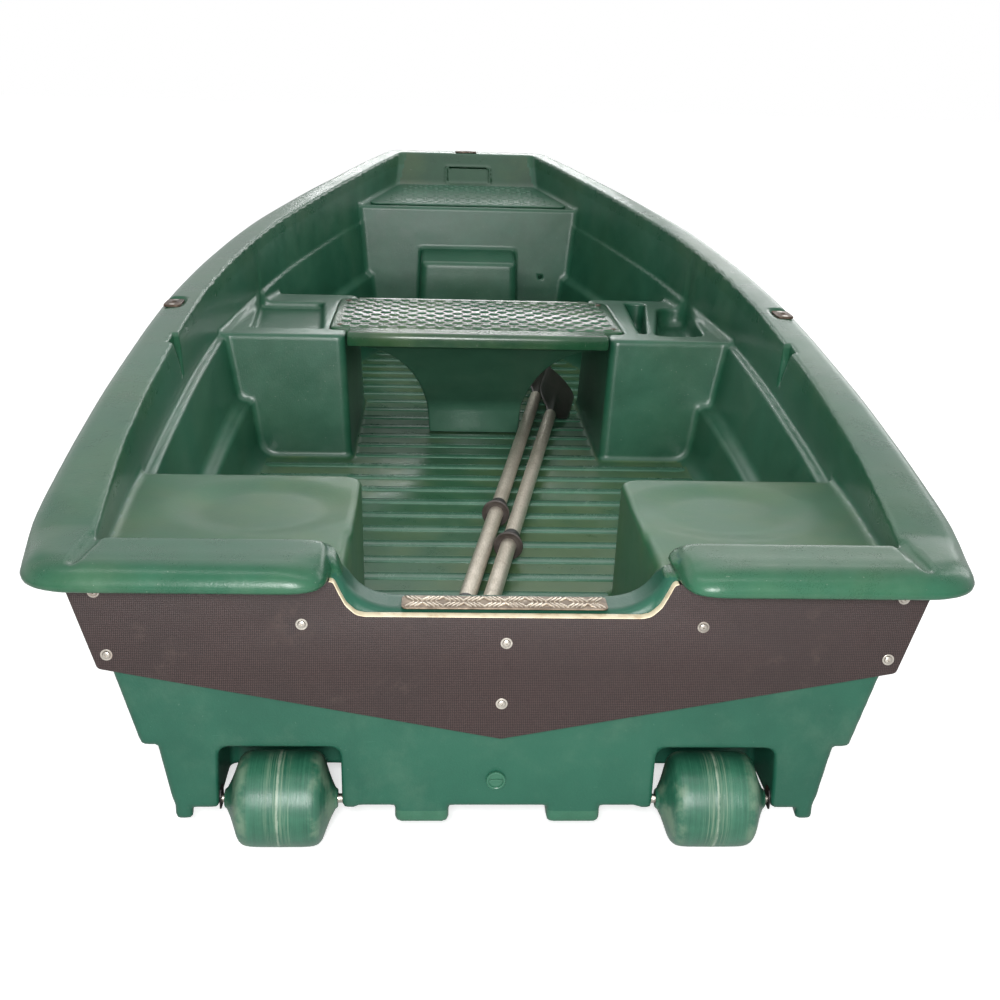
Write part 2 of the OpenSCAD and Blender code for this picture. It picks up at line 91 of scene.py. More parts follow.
rim_curve = smooth_curve([(0, .118), (.05, .116), (.16, .100), (.4, .092), (.5, .094), (.65, .098),
                          (.84, .096), (1, .098)])
wall_curve = smooth_curve([(0, .142), (.05, .140), (.16, .124), (.4, .112), (.65, .104), (.84, .101),
                           (1, .103)])
hang_curve = smooth_curve([(0, .094), (.1, .080), (.2, .064), (.3, .055), (.65, .046), (.84, .038),
                           (1, .034)])
ledge_curve = smooth_curve([(0, .033), (.45, .033), (.84, .019), (1, .016)])
slope_curve = smooth_curve([(0, .19), (.45, .19), (.84, .09), (1, .08)])


def aft(v):
    """Position v metres forward of the transom face."""
    return v - LENGTH / 2 + 0.08


def share(y):
    return (y + LENGTH / 2) / LENGTH


def half(y):
    return BEAM / 2 * half_curve(share(y))


def sheer(y):
    return STERN_Z + (BOW_Z - STERN_Z) * sheer_curve(share(y))


def rocker(y):
    return rocker_curve(share(y))


def rim_inside(y):
    return half(y) - rim_curve(share(y))


def topside(y, z):
    u = share(y)
    return half(y) - hang_curve(u) - flare_curve(u) * (sheer(y) - RIM_DEPTH - z)


def ledge_a(y):
    return sheer(y) - .128 - .048 * share(y)


def ledge_b(y):
    return sheer(y) - .279 - .098 * share(y)


def wall_inside(y):
    return half(y) - wall_curve(share(y))


def lower_wall(y, z):
    """Half width of the cockpit below the second ledge."""
    za, zb = ledge_a(y), ledge_b(y)
    u = share(y)
    return wall_inside(y) - slope_curve(u) * (za - zb) - ledge_curve(u) - .16 * (zb - z)


def place_at(u):
    """Position of a fraction of the length."""
    return u * LENGTH - LENGTH / 2


LOCKER_Y = place_at(.84)
BOW_PANEL_Y = place_at(.9497)
PED_AFT = place_at(.4459)
PED_FORE = place_at(.616)
PLANK_AFT = PED_AFT - .006
PLANK_FORE = place_at(.596)
LOCK_Y = place_at(.393)
LOCK_X = .76761
LOCK_Z = .69231
BOW_SOCKET = (-.002, LENGTH / 2 - .056, BOW_Z - .006)
AXLE_Y, AXLE_Z = aft(.037), .082
WHEEL_X = .370
OAR_Z = FLOOR_Z + .029
OAR_LIFT = .55
OARS = (("port", (-.067, aft(.349), OAR_Z), 8.7), ("starboard", (-.054, aft(.130), OAR_Z), 9.2))


def deck(y):
    return BOW_Z - .173 + .1 * (y - LOCKER_Y)


BOW_RAKE = .745
BOW_RAKE_COSINE = .802


def bow_face(y, z):
    """Distance forward of the raked face of the bow panel."""
    return (y - (BOW_PANEL_Y + BOW_RAKE * (z - .79))) * BOW_RAKE_COSINE


def smin(a, b, k):
    h = np.clip(.5 + .5 * (b - a) / k, 0, 1)
    return b + (a - b) * h - k * h * (1 - h)


def smax(a, b, k):
    return -smin(-a, -b, k)


# ---------------------------------------------------------------- moulded hull as distance fields
def outer_body(x, y, z):
    ax = np.abs(x)
    zb = rocker(y)
    cs = 1 / np.sqrt(1 + ((rocker(y + .004) - rocker(y - .004)) / .008)**2)
    zs = np.minimum(np.maximum(.197, zb + .010), PAN_Z - .006)
    xs = topside(y, zs) - .030 + .003 * np.clip((aft(.25) - y) / .1, 0, 1)
    upper = smax((ax - topside(y, z)) * .96, zs - z, .008)
    lower = smax((ax - (xs - .19 * (zs - z))) * .98, (zb - z) * cs, .030)
    lower = smax(lower, z - zs - .02, .004)
    body = smin(upper, lower, .006)
    body = smax(body, (zb - z) * cs, .02)
    strip = smax(smax(np.abs(ax - .130) - .046, (zb - .027 - z) * cs, .012), y - 1.13, .03)
    strip = smax(strip, z - .2, .01)
    fin = smax(np.abs(ax - (xs - .19 * (zs - zb) - .013)) - .012, (zb - .016 - z), .008)
    fin = smax(smax(fin, y - 1.13, .03), z - .2, .01)
    body = smin(body, smin(strip, fin, .004), .006)
    body = smax(body, z - (sheer(y) - .012), .006)
    body = smax(body, aft(.0125) - y, .014)
    body = smax(body, y - 1.836, .02)
    return body


def cockpit(x, y, z):
    ax = np.abs(x)
    za, zb = ledge_a(y), ledge_b(y)
    x0 = rim_inside(y)
    x1 = wall_inside(y)
    top = smax(ax - x0 + .014 * np.clip(sheer(y) - z, 0, .2), za - z, .010)
    mid = smax(ax - (x1 - slope_curve(share(y)) * (za - z)), zb - z, .022)
    low = smax(ax - lower_wall(y, z), FLOOR_Z - .004 - z, .050)
    well = smin(smin(top, mid, .010), low, .014)
    back = aft(.070) + .027 * np.clip((.502 - z) / .02, 0, 1)
    well = smax(well, back - y, .012)
    return smax(well, bow_face(y, z), .022)


def rim(x, y, z):
    ax = np.abs(x)
    sh = sheer(y)
    stern = np.clip((aft(.10) - y) / .10, 0, 1)
    wide = half(y) + .0055 - .010 * np.clip((aft(.16) - y) / .16, 0, 1)
    outside = smax((ax - wide) * .97, -LENGTH / 2 - y, .085)
    outside = smax(outside, y - LENGTH / 2, .045)
    inside = smax((ax - rim_inside(y)) * .97, aft(.070) - y, .020)
    inside = smax(inside, y - (LENGTH / 2 - .104), .03)
    roll_end = np.where(y < aft(.085), .266 - ax, -1.0)
    across = np.clip(inside / .1, 0, 1)
    crown = .009 * (across - .30)**2 + .004 * (1 - stern)
    ring = smax(outside, -inside, .006)
    top = z - sh + crown - .004 * stern
    ring = smax(ring, roll_end, .048)
    outer = smax(outside, roll_end, .075)
    ring = smax(smax(outer, top, .030 + .022 * stern), smax(-inside, roll_end, .045), .0115 + .026 * stern)
    ring = smax(ring, sh - RIM_DEPTH - z, .018)
    return smax(ring, z - sh - .0005, .003)


def notch(x, y, z):
    lean = .2515 + .36 * np.clip(z - .470, -.04, .2)
    hole = smax((np.abs(x) - lean) * .9, NOTCH_Z - .006 - z, .062)
    return smax(hole, y - aft(.25), .03)


def corner_groove(x, y, z):
    """Channel that divides the side rim from the roll across the stern."""
    ax = np.abs(x)
    t = np.clip((aft(.082) - y) / .125, 0, 1)
    cx = .661 + .012 * t
    depth = sheer(y) + .001 - .004 * t
    d = np.sqrt((ax - cx)**2 + (1.4 * (z - depth))**2)
    reach = np.maximum(y - aft(.088), aft(-.050) - y)
    return smax(d - (.0150 - .007 * t), reach, .02)


def rim_pocket(x, y, z):
    """Vee recess under the rim beside each rowing position."""
    ax = np.abs(x)
    t = sheer(y) - z
    w = .036 * np.clip(1 - t / .120, -.5, 1)
    wall = rim_inside(y) - .014 * np.clip(t, 0, .2)
    s = smax(np.abs(y - (-.695 + .35 * t)) - w, ax - (wall + .017), .006)
    return smax(s, np.abs(t - .04) - .07, .01)


def stern_seat(x, y, z):
    ax = np.abs(x)
    r = np.sqrt(((ax - .43) / .165)**2 + ((y - aft(.385)) / .150)**2)
    t = np.clip((1.18 - r) / .55, 0, 1)
    dish = .009 * t * t * (3 - 2 * t)
    s = smax(.259 - .02 * (SEAT_Z - z) - ax, y - aft(.582) - .06 * (SEAT_Z - z), .040)
    return smax(s, z - SEAT_Z + dish, .014)


def pedestal(x, y, z):
    ax = np.abs(x)
    s = smax(.358 - .055 * (PEDESTAL_Z - z) - ax, PED_AFT - .045 * (PEDESTAL_Z - z) - y, .024)
    s = smax(s, y - PED_FORE - .045 * (PEDESTAL_Z - z), .024)
    return smax(s, z - PEDESTAL_Z, .012)


def rounded_box(x, y, z, lo, hi, k):
    cx, cy, cz = [(a + b) / 2 for a, b in zip(lo, hi)]
    hx, hy, hz = [(b - a) / 2 for a, b in zip(lo, hi)]
    return smax(smax(np.abs(x - cx) - hx, np.abs(y - cy) - hy, k), np.abs(z - cz) - hz, k * .6)


def recess(x, y, z, aft_side, fore_side, depth, k):
    """Pocket in a pedestal top between (x0, x1, y) at its aft side and at its fore side."""
    t = (y - aft_side[2]) / (fore_side[2] - aft_side[2])
    x0 = aft_side[0] + t * (fore_side[0] - aft_side[0]) + .05 * (PEDESTAL_Z - z)
    x1 = aft_side[1] + t * (fore_side[1] - aft_side[1]) - .05 * (PEDESTAL_Z - z)
    s = smax(smax(x0 - x, x - x1, k * .5), smax(aft_side[2] - y, y - fore_side[2], k * .5), k)
    return smax(s, PEDESTAL_Z - depth - z, k * .7)


def tray(x, y, z):
    a = PED_AFT
    port = recess(-x, y, z, (.424, .616, a + .092), (.454, .642, a + .490), .022, .020)
    cup = recess(x, y, z, (.450, .468, a + .094), (.470, .534, a + .585), .085, .030)
    locker = recess(x, y, z, (.490, .626, a + .074), (.560, .650, a + .500), .060, .044)
    return np.minimum(np.minimum(port, cup), locker)


def seat_rebate(x, y, z):
    return rounded_box(x, y, z, (-.4065, PED_AFT + .081, PLANK_Z - .0305), (.4065, PLANK_FORE - .018, .70),
                       .022)


def bow_locker(x, y, z):
    bead = .003 * np.clip((LOCKER_Y + .028 - y) / .02, 0, 1)
    lip = smax(LOCKER_Y - .030 * (.757 - z) - y, z - deck(y) - bead, .011)
    return smax(lip, z - deck(y) - .004, .004)


def locker_step(x, y, z):
    ax = np.abs(x)
    top = .590 + .10 * (y - (LOCKER_Y - .2))
    s = smax(ax - .170 - .03 * (top - z), (LOCKER_Y - .2) - .03 * (top - z) - y, .028)
    return smax(s, z - top, .018)


def locker_hole(x, y, z):
    return smax(np.sqrt((x - .272)**2 + (z - .513)**2) - .0075, y - LOCKER_Y - .03, .003)


def name_frame(x, y, z):
    """Empty raised frame on the bow panel."""
    up = (z - .839) / BOW_RAKE_COSINE
    out = bow_face(y, z)
    plate = smax(np.abs(x - .006) - .086, np.abs(up) - .038, .012)
    return smax(np.abs(plate) - .0045, np.abs(out) - .0075, .003)


def wheel_housing(x, y, z):
    ax = np.abs(x)
    s = smax(np.abs(ax - .3695) - (.1045 - .022 * np.clip(z - .07, 0, .2)), z - .193, .022)
    return smax(s, y - aft(.165), .02)


def oarlock_recess(x, y, z):
    ax = np.abs(x)
    plan = smax(LOCK_X - .028 - ax, np.abs(y - LOCK_Y) - .050, .030)
    return smax(plan, LOCK_Z - .0052 - z, .006)


def bow_recess(x, y, z):
    plan = smax(np.abs(x - BOW_SOCKET[0]) - .047, np.abs(y - BOW_SOCKET[1]) - .026, .010)
    return smax(plan, BOW_SOCKET[2] - .0052 - z, .004)


def moulding(x, y, z):
    body = smin(outer_body(x, y, z), rim(x, y, z), .005)
    body = smax(body, -cockpit(x, y, z), .005)
    inside = smin(stern_seat(x, y, z), pedestal(x, y, z), .02)
    inside = smin(inside, smin(bow_locker(x, y, z), locker_step(x, y, z), .016), .02)
    inside = smax(inside, outer_body(x, y, z) + .004, .004)
    inside = smax(inside, z - sheer(y) + .02, .004)
    body = smin(body, inside, .018)
    body = smin(body, smax(name_frame(x, y, z), y - 1.80, .01), .003)
    body = smax(body, -tray(x, y, z), .009)
    body = smax(body, -seat_rebate(x, y, z), .004)
    body = smax(body, -notch(x, y, z), .020)
    body = smax(body, -rim_pocket(x, y, z), .006)
    body = smax(body, -corner_groove(x, y, z), .007)
    body = smax(body, -oarlock_recess(x, y, z), .006)
    body = smax(body, -bow_recess(x, y, z), .004)
    body = smax(body, -locker_hole(x, y, z), .003)
    body = smax(body, -wheel_housing(x, y, z), .008)
    return body


def slope_at(p, fn, e=.0015):
    n = np.zeros_like(p)
    for i in range(3):
        d = np.zeros(3)
        d[i] = e
        a, b = p + d, p - d
        n[:, i] = fn(a[:, 0], a[:, 1], a[:, 2]) - fn(b[:, 0], b[:, 1], b[:, 2])
    length = np.linalg.norm(n, axis=1)
    return n / np.maximum(length, 1e-9)[:, None], length / (2 * e)


def skin(fn, lo, step, shape, chunk=40):
    """Mesh of a field's zero level that keeps its edges crisp: points and four-cornered faces."""
    lo, step = np.array(lo), np.array(step)
    gx, gy, gz = (lo[i] + step[i] * np.arange(shape[i]) for i in range(3))
    field = np.empty(shape, np.float32)
    for j in range(0, shape[1], chunk):
        field[:, j:j + chunk] = fn(gx.reshape(-1, 1, 1), gy[j:j + chunk].reshape(1, -1, 1),
                                   gz.reshape(1, 1, -1))
    inside = field < 0
    n0, n1, n2 = (s - 1 for s in shape)
    count = np.zeros((n0, n1, n2), np.uint8)
    for a in (0, 1):
        for b in (0, 1):
            for c in (0, 1):
                count += inside[a:n0 + a, b:n1 + b, c:n2 + c]
    cells = np.argwhere((count > 0) & (count < 8))
    total = len(cells)
    index = np.full((n0, n1, n2), -1, np.int64)
    index[cells[:, 0], cells[:, 1], cells[:, 2]] = np.arange(total)
    sums = np.zeros((13, total))
    faces = []
    for axis in range(3):
        o1, o2 = [(1, 2), (2, 0), (0, 1)][axis]
        first, second = [slice(None)] * 3, [slice(None)] * 3
        first[axis], second[axis] = slice(0, -1), slice(1, None)
        sa, sb = inside[tuple(first)], inside[tuple(second)]
        edge = np.argwhere(sa != sb)
        e1, e2 = edge[:, o1], edge[:, o2]
        edge = edge[(e1 > 0) & (e2 > 0) & (e1 < shape[o1] - 1) & (e2 < shape[o2] - 1)]
        fa = field[tuple(edge.T)].astype(float)
        end = edge.copy()
        end[:, axis] += 1
        fb = field[tuple(end.T)].astype(float)
        ta, tb = np.zeros(len(edge)), np.ones(len(edge))
        for _ in range(3):
            t = np.clip(ta + (tb - ta) * fa / (fa - fb), 0, 1)
            p = lo + step * edge
            p[:, axis] += t * step[axis]
            v = fn(p[:, 0], p[:, 1], p[:, 2])
            same = (v < 0) == (fa < 0)
            ta, fa = np.where(same, t, ta), np.where(same, v, fa)
            tb, fb = np.where(same, tb, t), np.where(same, fb, v)
        n, _ = slope_at(p, fn, .0008)
        level = (n * p).sum(1)
        rows = [n[:, 0]**2, n[:, 1]**2, n[:, 2]**2, n[:, 0] * n[:, 1], n[:, 0] * n[:, 2], n[:, 1] * n[:, 2],
                n[:, 0] * level, n[:, 1] * level, n[:, 2] * level, p[:, 0], p[:, 1], p[:, 2], np.ones(len(p))]
        ring = []
        for q, r in ((1, 1), (0, 1), (0, 0), (1, 0)):
            c = edge.copy()
            c[:, o1] -= q
            c[:, o2] -= r
            near = index[tuple(c.T)]
            ring.append(near)
            for k, row in enumerate(rows):
                sums[k] += np.bincount(near, row, total)
        quad = np.stack(ring, 1)
        out = sa[tuple(edge.T)]
        quad[~out] = quad[~out][:, ::-1]
        faces.append(quad)
    hits = np.maximum(sums[12], 1)
    middle = (sums[9:12] / hits).T
    weight = .06 * hits
    pull = np.empty((total, 3, 3))
    for (i, j), k in {(0, 0): 0, (1, 1): 1, (2, 2): 2, (0, 1): 3, (0, 2): 4, (1, 2): 5}.items():
        pull[:, i, j] = pull[:, j, i] = sums[k]
    pull += weight[:, None, None] * np.eye(3)
    aim = sums[6:9].T + weight[:, None] * middle
    points = np.linalg.solve(pull, aim[:, :, None])[:, :, 0]
    centre = lo + step * (cells + .5)
    points = np.clip(points, centre - step * .5, centre + step * .5)
    return points, np.concatenate(faces)


# ---------------------------------------------------------------- finishes
class Wire:
    """A shader socket that adds Math nodes when it is used in an expression."""

    def __init__(self, finish, socket):
        self.finish = finish
        self.socket = socket

    def math(self, operation, *others, turned=False):
        values = [self, *others]
        if turned:
            values.reverse()
        return self.finish.node("ShaderNodeMath", {"operation": operation}, dict(enumerate(values)))

    def __add__(self, other):
        return self.math("ADD", other)

    def __radd__(self, other):
        return self.math("ADD", other)

    def __sub__(self, other):
        return self.math("SUBTRACT", other)

    def __rsub__(self, other):
        return self.math("SUBTRACT", other, turned=True)

    def __mul__(self, other):
        return self.math("MULTIPLY", other)

    def __rmul__(self, other):
        return self.math("MULTIPLY", other)

    def __truediv__(self, other):
        return self.math("DIVIDE", other)

    def clipped(self):
        return self.math("MAXIMUM", 0).math("MINIMUM", 1)


class Finish:
    """A procedural material around one Principled shader."""

    def __init__(self, name, **fixed):
        self.material = bpy.data.materials.new(name)
        self.material.use_nodes = True
        self.tree = self.material.node_tree
        self.shader = self.tree.nodes["Principled BSDF"]
        for key, value in fixed.items():
            self.shader.inputs[key.replace("_", " ")].default_value = value

    def node(self, kind, settings=None, inputs=None, out=0):
        n = self.tree.nodes.new(kind)
        for key, value in (settings or {}).items():
            setattr(n, key, value)
        for key, value in (inputs or {}).items():
            if isinstance(value, Wire):
                self.tree.links.new(value.socket, n.inputs[key])
            else:
                n.inputs[key].default_value = value
        return Wire(self, n.outputs[out])

    def place(self):
        return self.node("ShaderNodeTexCoord", out="Object")

    def axis(self, where, which):
        return self.node("ShaderNodeSeparateXYZ", inputs={0: where}, out=which)

    def stretched(self, where, scale):
        return self.node("ShaderNodeVectorMath", {"operation": "MULTIPLY"}, {0: where, 1: scale})

    def noise(self, where, scale, detail=3, rough=.55, out="Fac"):
        return self.node("ShaderNodeTexNoise", None,
                         {"Vector": where, "Scale": scale, "Detail": detail, "Roughness": rough}, out)

    def band(self, value, low, high):
        return self.node("ShaderNodeMapRange", {"interpolation_type": "SMOOTHSTEP"},
                         {"Value": value, "From Min": low, "From Max": high})

    def blend(self, factor, a, b, mode="MIX"):
        return self.node("ShaderNodeMix", {"data_type": "RGBA", "blend_type": mode},
                         {0: factor, 6: self.colour(a), 7: self.colour(b)}, out=2)

    def colour(self, value):
        return (*value, 1) if isinstance(value, tuple) else value

    def set(self, name, value):
        self.tree.links.new(value.socket, self.shader.inputs[name])

    def bump(self, height, distance, strength=1.0, below=None):
        inputs = {"Height": height, "Distance": distance, "Strength": strength}
        if below is not None:
            inputs["Normal"] = below
        return self.node("ShaderNodeBump", None, inputs)


def srgb(r, g, b):
    return tuple(c / 255 / 12.92 if c <= 10.3 else ((c / 255 + .055) / 1.055)**2.4 for c in (r, g, b))


def moulded_green(name, deep, pale, rough=.33, peel=.00030, dusty=.25, dust_colour=srgb(110, 132, 112),
                  ochre=.0, dots=.25, shine=.5):
    f = Finish(name, Roughness=rough, IOR=1.5, Specular_IOR_Level=shine)
    where = f.place()
    wide = f.noise(where, 1.9, 3, .6)
    mottled = f.noise(where, 13, 5, .65)
    speck = f.noise(where, 480, 2, .6)
    scratches = f.noise(f.stretched(where, (4, 70, 50)), 4, 4, .7)
    scuff = f.band(scratches, .64, .76) * f.band(mottled, .46, .66)
    tone = wide * .5 + mottled * .32 + speck * .18
    colour = f.blend(f.band(tone, .36, .66), deep, pale)
    colour = f.blend(f.band(f.noise(where, 3.2, 4, .6), .42, .66) * ochre, colour, srgb(98, 112, 66))
    dust = f.band(f.noise(where, 5.5, 6, .72), .48, .74) * dusty
    colour = f.blend(dust, colour, dust_colour)
    colour = f.blend(scuff * .40, colour, tuple(min(1, c * 1.5 + .06) for c in pale))
    dot = f.band(f.noise(where, 210, 1, .5), .76, .80)
    colour = f.blend(dot * dots, colour, srgb(178, 184, 172))
    f.set("Base Color", colour)
    f.set("Roughness", (rough - .06 + mottled * .13 + scuff * .2 + dust * .35 + speck * .06).clipped())
    soft = f.bump(f.noise(where, 8, 2, .4), .003, .35)
    fine = f.bump(f.noise(where, 290, 2, .5), peel, .8, soft)
    f.set("Normal", fine)
    return f.material


def film_faced_board(name, face):
    f = Finish(name, Roughness=.5, IOR=1.5, Specular_IOR_Level=.35)
    where = f.place()
    x = f.axis(where, "X")
    z = f.axis(where, "Z")
    pitch = 2 * math.pi / .0044
    a = ((x + z) * (pitch * .7071)).math("SINE")
    b = ((x - z) * (pitch * .7071)).math("SINE")
    mesh = f.band(a * b * .5 + .5, .30, .80)
    grain = f.noise(where, 420, 3, .7)
    blot = f.noise(where, 5, 6, .65)
    grime = f.band(f.noise(where, 26, 6, .75), .50, .72)
    weave = (mesh * .55 + grain * .75 - .15).clipped()
    colour = f.blend(f.band(weave, .20, .75), face, tuple(c * 5.0 + .008 for c in face))
    colour = f.blend(f.band(blot, .38, .70) * .40, colour, tuple(c * 1.3 + .006 for c in face))
    colour = f.blend(grime * f.band(blot, .45, .7) * .22, colour, srgb(112, 96, 88))
    scratch = f.band(f.noise(f.stretched(where, (3, 1, 46)), 9, 5, .8), .66, .76)
    colour = f.blend(scratch * .22, colour, srgb(120, 108, 100))
    f.set("Base Color", colour)
    f.set("Roughness", (.42 + mesh * .10 + grime * .2).clipped())
    f.set("Normal", f.bump(weave, .0006, .9))
    return f.material


def sealed_edge(name):
    f = Finish(name, Roughness=.45, IOR=1.45)
    where = f.place()
    blot = f.noise(where, 60, 4, .6)
    ply = ((f.axis(where, "Y") * (2 * math.pi / .0030)).math("SINE") * .5 + .5) * .12
    f.set("Base Color", f.blend((f.band(blot, .40, .82) * .7 + ply).clipped(), srgb(226, 214, 184),
                                srgb(176, 150, 114)))
    f.set("Roughness", .35 + blot * .2)
    f.set("Normal", f.bump(f.noise(where, 400, 2), .0002, .5))
    return f.material


def bare_metal(name, bright, dull, rough=.3, grain=(1, 1, 1), stain=.3, stain_colour=(.25, .2, .15),
               metallic=1.0):
    f = Finish(name, Roughness=rough, Metallic=metallic)
    where = f.place()
    brushed = f.noise(f.stretched(where, grain), 60, 4, .6)
    spots = f.band(f.noise(where, 45, 6, .7), .52, .72)
    wide = f.noise(where, 7, 4, .6)
    colour = f.blend(f.band(brushed * .6 + wide * .4, .32, .68), bright, dull)
    colour = f.blend(spots * stain, colour, stain_colour)
    f.set("Base Color", colour)
    f.set("Metallic", (metallic - spots * (stain * .8)).clipped())
    f.set("Roughness", (rough - .08 + brushed * .18 + spots * .3).clipped())
    f.set("Normal", f.bump(brushed, .0002, .6))
    return f.material


def dark_plastic(name, colour, rough=.42, pale=.02):
    f = Finish(name, Roughness=rough, IOR=1.5)
    where = f.place()
    blot = f.noise(where, 30, 5, .65)
    scuff = f.band(f.noise(f.stretched(where, (60, 6, 60)), 6, 4, .7), .60, .74)
    base = f.blend(f.band(blot, .4, .8), colour, tuple(c * 1.5 + pale for c in colour))
    f.set("Base Color", f.blend(scuff * .4, base, tuple(c + .07 for c in colour)))
    f.set("Roughness", (rough - .05 + blot * .15 + scuff * .2).clipped())
    f.set("Normal", f.bump(f.noise(where, 300, 2), .0003, .5))
    return f.material


def rolled_wheel(name, deep, pale):
    f = Finish(name, Roughness=.30, IOR=1.5)
    where = f.place()
    off = (f.axis(where, "X").math("ABSOLUTE") - WHEEL_X).math("ABSOLUTE")
    seam = 1 - f.band(off + (f.noise(where, 40, 4, .7) - .5) * .006, .0008, .0030)
    centre = 1 - f.band(off + (f.noise(where, 9, 4, .7) - .5) * .03, .008, .030)
    edge = f.band(off + (f.noise(where, 30, 4, .7) - .5) * .012, .046, .060)
    rings = f.noise(f.stretched(where, (130, 1.2, 1.2)), 4, 4, .75)
    mottled = f.noise(where, 16, 5, .65)
    colour = f.blend(f.band(rings * .55 + mottled * .45, .34, .66), deep, pale)
    wear = (centre * f.band(rings, .46, .62) * .45 + edge * f.band(mottled, .42, .6) * .35).clipped()
    colour = f.blend(wear, colour, srgb(128, 140, 118))
    colour = f.blend(seam * f.band(mottled, .32, .62) * .42, colour, srgb(176, 184, 166))
    f.set("Base Color", colour)
    f.set("Roughness", (.22 + mottled * .14 + rings * .12 + wear * .35).clipped())
    f.set("Normal", f.bump(rings, .0005, .7, f.bump(f.noise(where, 12, 2), .002, .3)))
    return f.material


HULL_GREEN = moulded_green("hull_green", srgb(28, 77, 56), srgb(43, 95, 73), rough=.29, dusty=.12, ochre=.05)
# Darker copy of the hull green, used on the transom and stern bottom: painted shade on the same plastic as
# the hull.
TRANSOM_SHADED_GREEN = moulded_green("transom_green_painted_shade", srgb(22, 72, 56), srgb(30, 82, 64), rough=.34, dusty=.12,
                              dots=.06, shine=.35)
RIM_GREEN = moulded_green("rim_green", srgb(28, 76, 54), srgb(40, 91, 68), rough=.25, dusty=.14, ochre=.10,
                          shine=.36)
SOLE_GREEN = moulded_green("sole_green", srgb(44, 86, 60), srgb(60, 102, 74), rough=.26, dusty=.16,
                           ochre=.42, shine=.42)
SEAT_GREEN = moulded_green("seat_green", srgb(32, 80, 52), srgb(46, 97, 68), rough=.34, dusty=.12,
                           ochre=.22, shine=.27)
# Paler, bluer copy of the sole green for the raised bars: painted sheen for the light their tops catch.
RIB_SHEEN_GREEN = moulded_green("rib_green_painted_sheen", srgb(54, 98, 76), srgb(74, 118, 96), rough=.22, dusty=.18)
PLANK_GREEN = moulded_green("plank_green", srgb(24, 66, 42), srgb(38, 84, 56), rough=.20, dusty=.10,
                            ochre=.25)
# Paler copy of the green for the thwart leg, whose face leans downward: painted light in place of the light
# it misses.
LEG_LIT_GREEN = moulded_green("leg_green_painted_light", srgb(50, 88, 70), srgb(64, 104, 84), rough=.30, dusty=.14)
# Darker copy of the hull green for the bow panel: painted shade on the same plastic as the hull.
BOW_SHADED_GREEN = moulded_green("bow_green_painted_shade", srgb(24, 62, 42), srgb(36, 78, 54), rough=.26, dusty=.12, ochre=.20)
WHEEL_GREEN = rolled_wheel("wheel_green", srgb(26, 74, 56), srgb(46, 98, 76))
BOARD_FACE = film_faced_board("film_faced_board", srgb(24, 15, 14))
BOARD_EDGE = sealed_edge("sealed_board_edge")
TREAD_BASE = bare_metal("tread_worn_base", srgb(152, 138, 122), srgb(104, 92, 80), rough=.42, stain=.5)
TREAD_METAL = bare_metal("tread_aluminium", srgb(232, 222, 206), srgb(186, 174, 160), rough=.30, stain=.35)
TUBE_METAL = bare_metal("oar_tube_aluminium", srgb(214, 206, 192), srgb(176, 168, 152), rough=.42,
                        grain=(8, 1, 8), stain=.35, metallic=.72)
STEEL = bare_metal("zinc_steel", srgb(198, 192, 182), srgb(146, 140, 132), rough=.32, stain=.5,
                   stain_colour=srgb(120, 70, 40))
RUSTY = bare_metal("rusty_steel", srgb(104, 90, 78), srgb(58, 48, 42), rough=.5, stain=.9,
                   stain_colour=srgb(104, 60, 36), metallic=.75)
BRACKET = bare_metal("dark_bracket", srgb(46, 44, 44), srgb(26, 25, 26), rough=.42, stain=.5,
                     stain_colour=srgb(120, 74, 30), metallic=.6)
BLACK = dark_plastic("black_plastic", srgb(30, 28, 28))
COLLAR = dark_plastic("worn_collar", srgb(58, 50, 46), rough=.5, pale=.03)
BLADE_BROWN = dark_plastic("blade_brown", srgb(42, 33, 31), rough=.36)


# ---------------------------------------------------------------- mesh helpers
def finish_piece(name, mesh, finish, nodes, body):
    obj = bpy.data.objects.new(name, mesh)
    bpy.context.scene.collection.objects.link(obj)
    for material in finish if isinstance(finish, (list, tuple)) else [finish]:
        mesh.materials.append(material)
    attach(obj, body)
    if nodes:
        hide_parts(*nodes)
    return obj


def new_piece(name, points, faces, finish, nodes=(), body="hull"):
    mesh = bpy.data.meshes.new(name)
    mesh.from_pydata([tuple(map(float, p)) for p in points], [], [tuple(map(int, f)) for f in faces])
    mesh.update()
    mesh.shade_smooth()
    return finish_piece(name, mesh, finish, nodes, body)


def from_bmesh(name, bm, finish, nodes=(), sharp=.6, body="hull"):
    mesh = bpy.data.meshes.new(name)
    bmesh.ops.recalc_face_normals(bm, faces=bm.faces)
    bm.to_mesh(mesh)
    bm.free()
    mesh.shade_smooth()
    mesh.set_sharp_from_angle(angle=sharp)
    return finish_piece(name, mesh, finish, nodes, body)


def frame_of(place, ahead, up=(0, 0, 1)):
    """Matrix whose third axis points ahead."""
    w = Vector(ahead).normalized()
    u = Vector(up).cross(w)
    if u.length < 1e-4:
        u = Vector((1, 0, 0))
    u.normalize()
    v = w.cross(u)
    return Matrix.Translation(place) @ Matrix((u, v, w)).transposed().to_4x4()


def lathe(bm, where, profile, sides=48, material=0, wobble=None):
    """Turns (radius, height) pairs about the third axis of the matrix where."""
    rings = []
    for r, h in profile:
        if r < 1e-6:
            rings.append([bm.verts.new(where @ Vector((0, 0, h)))])
            continue
        ring = []
        for i in range(sides):
            a = 2 * math.pi * i / sides
            q = r if wobble is None else r + wobble(a, h)
            ring.append(bm.verts.new(where @ Vector((q * math.cos(a), q * math.sin(a), h))))
        rings.append(ring)
    for low, high in zip(rings, rings[1:]):
        for i in range(sides):
            j = (i + 1) % sides
            if len(low) == 1 and len(high) == 1:
                continue
            if len(low) == 1:
                face = bm.faces.new((low[0], high[i], high[j]))
            elif len(high) == 1:
                face = bm.faces.new((low[i], high[0], low[j]))
            else:
                face = bm.faces.new((low[i], high[i], high[j], low[j]))
            face.material_index = material


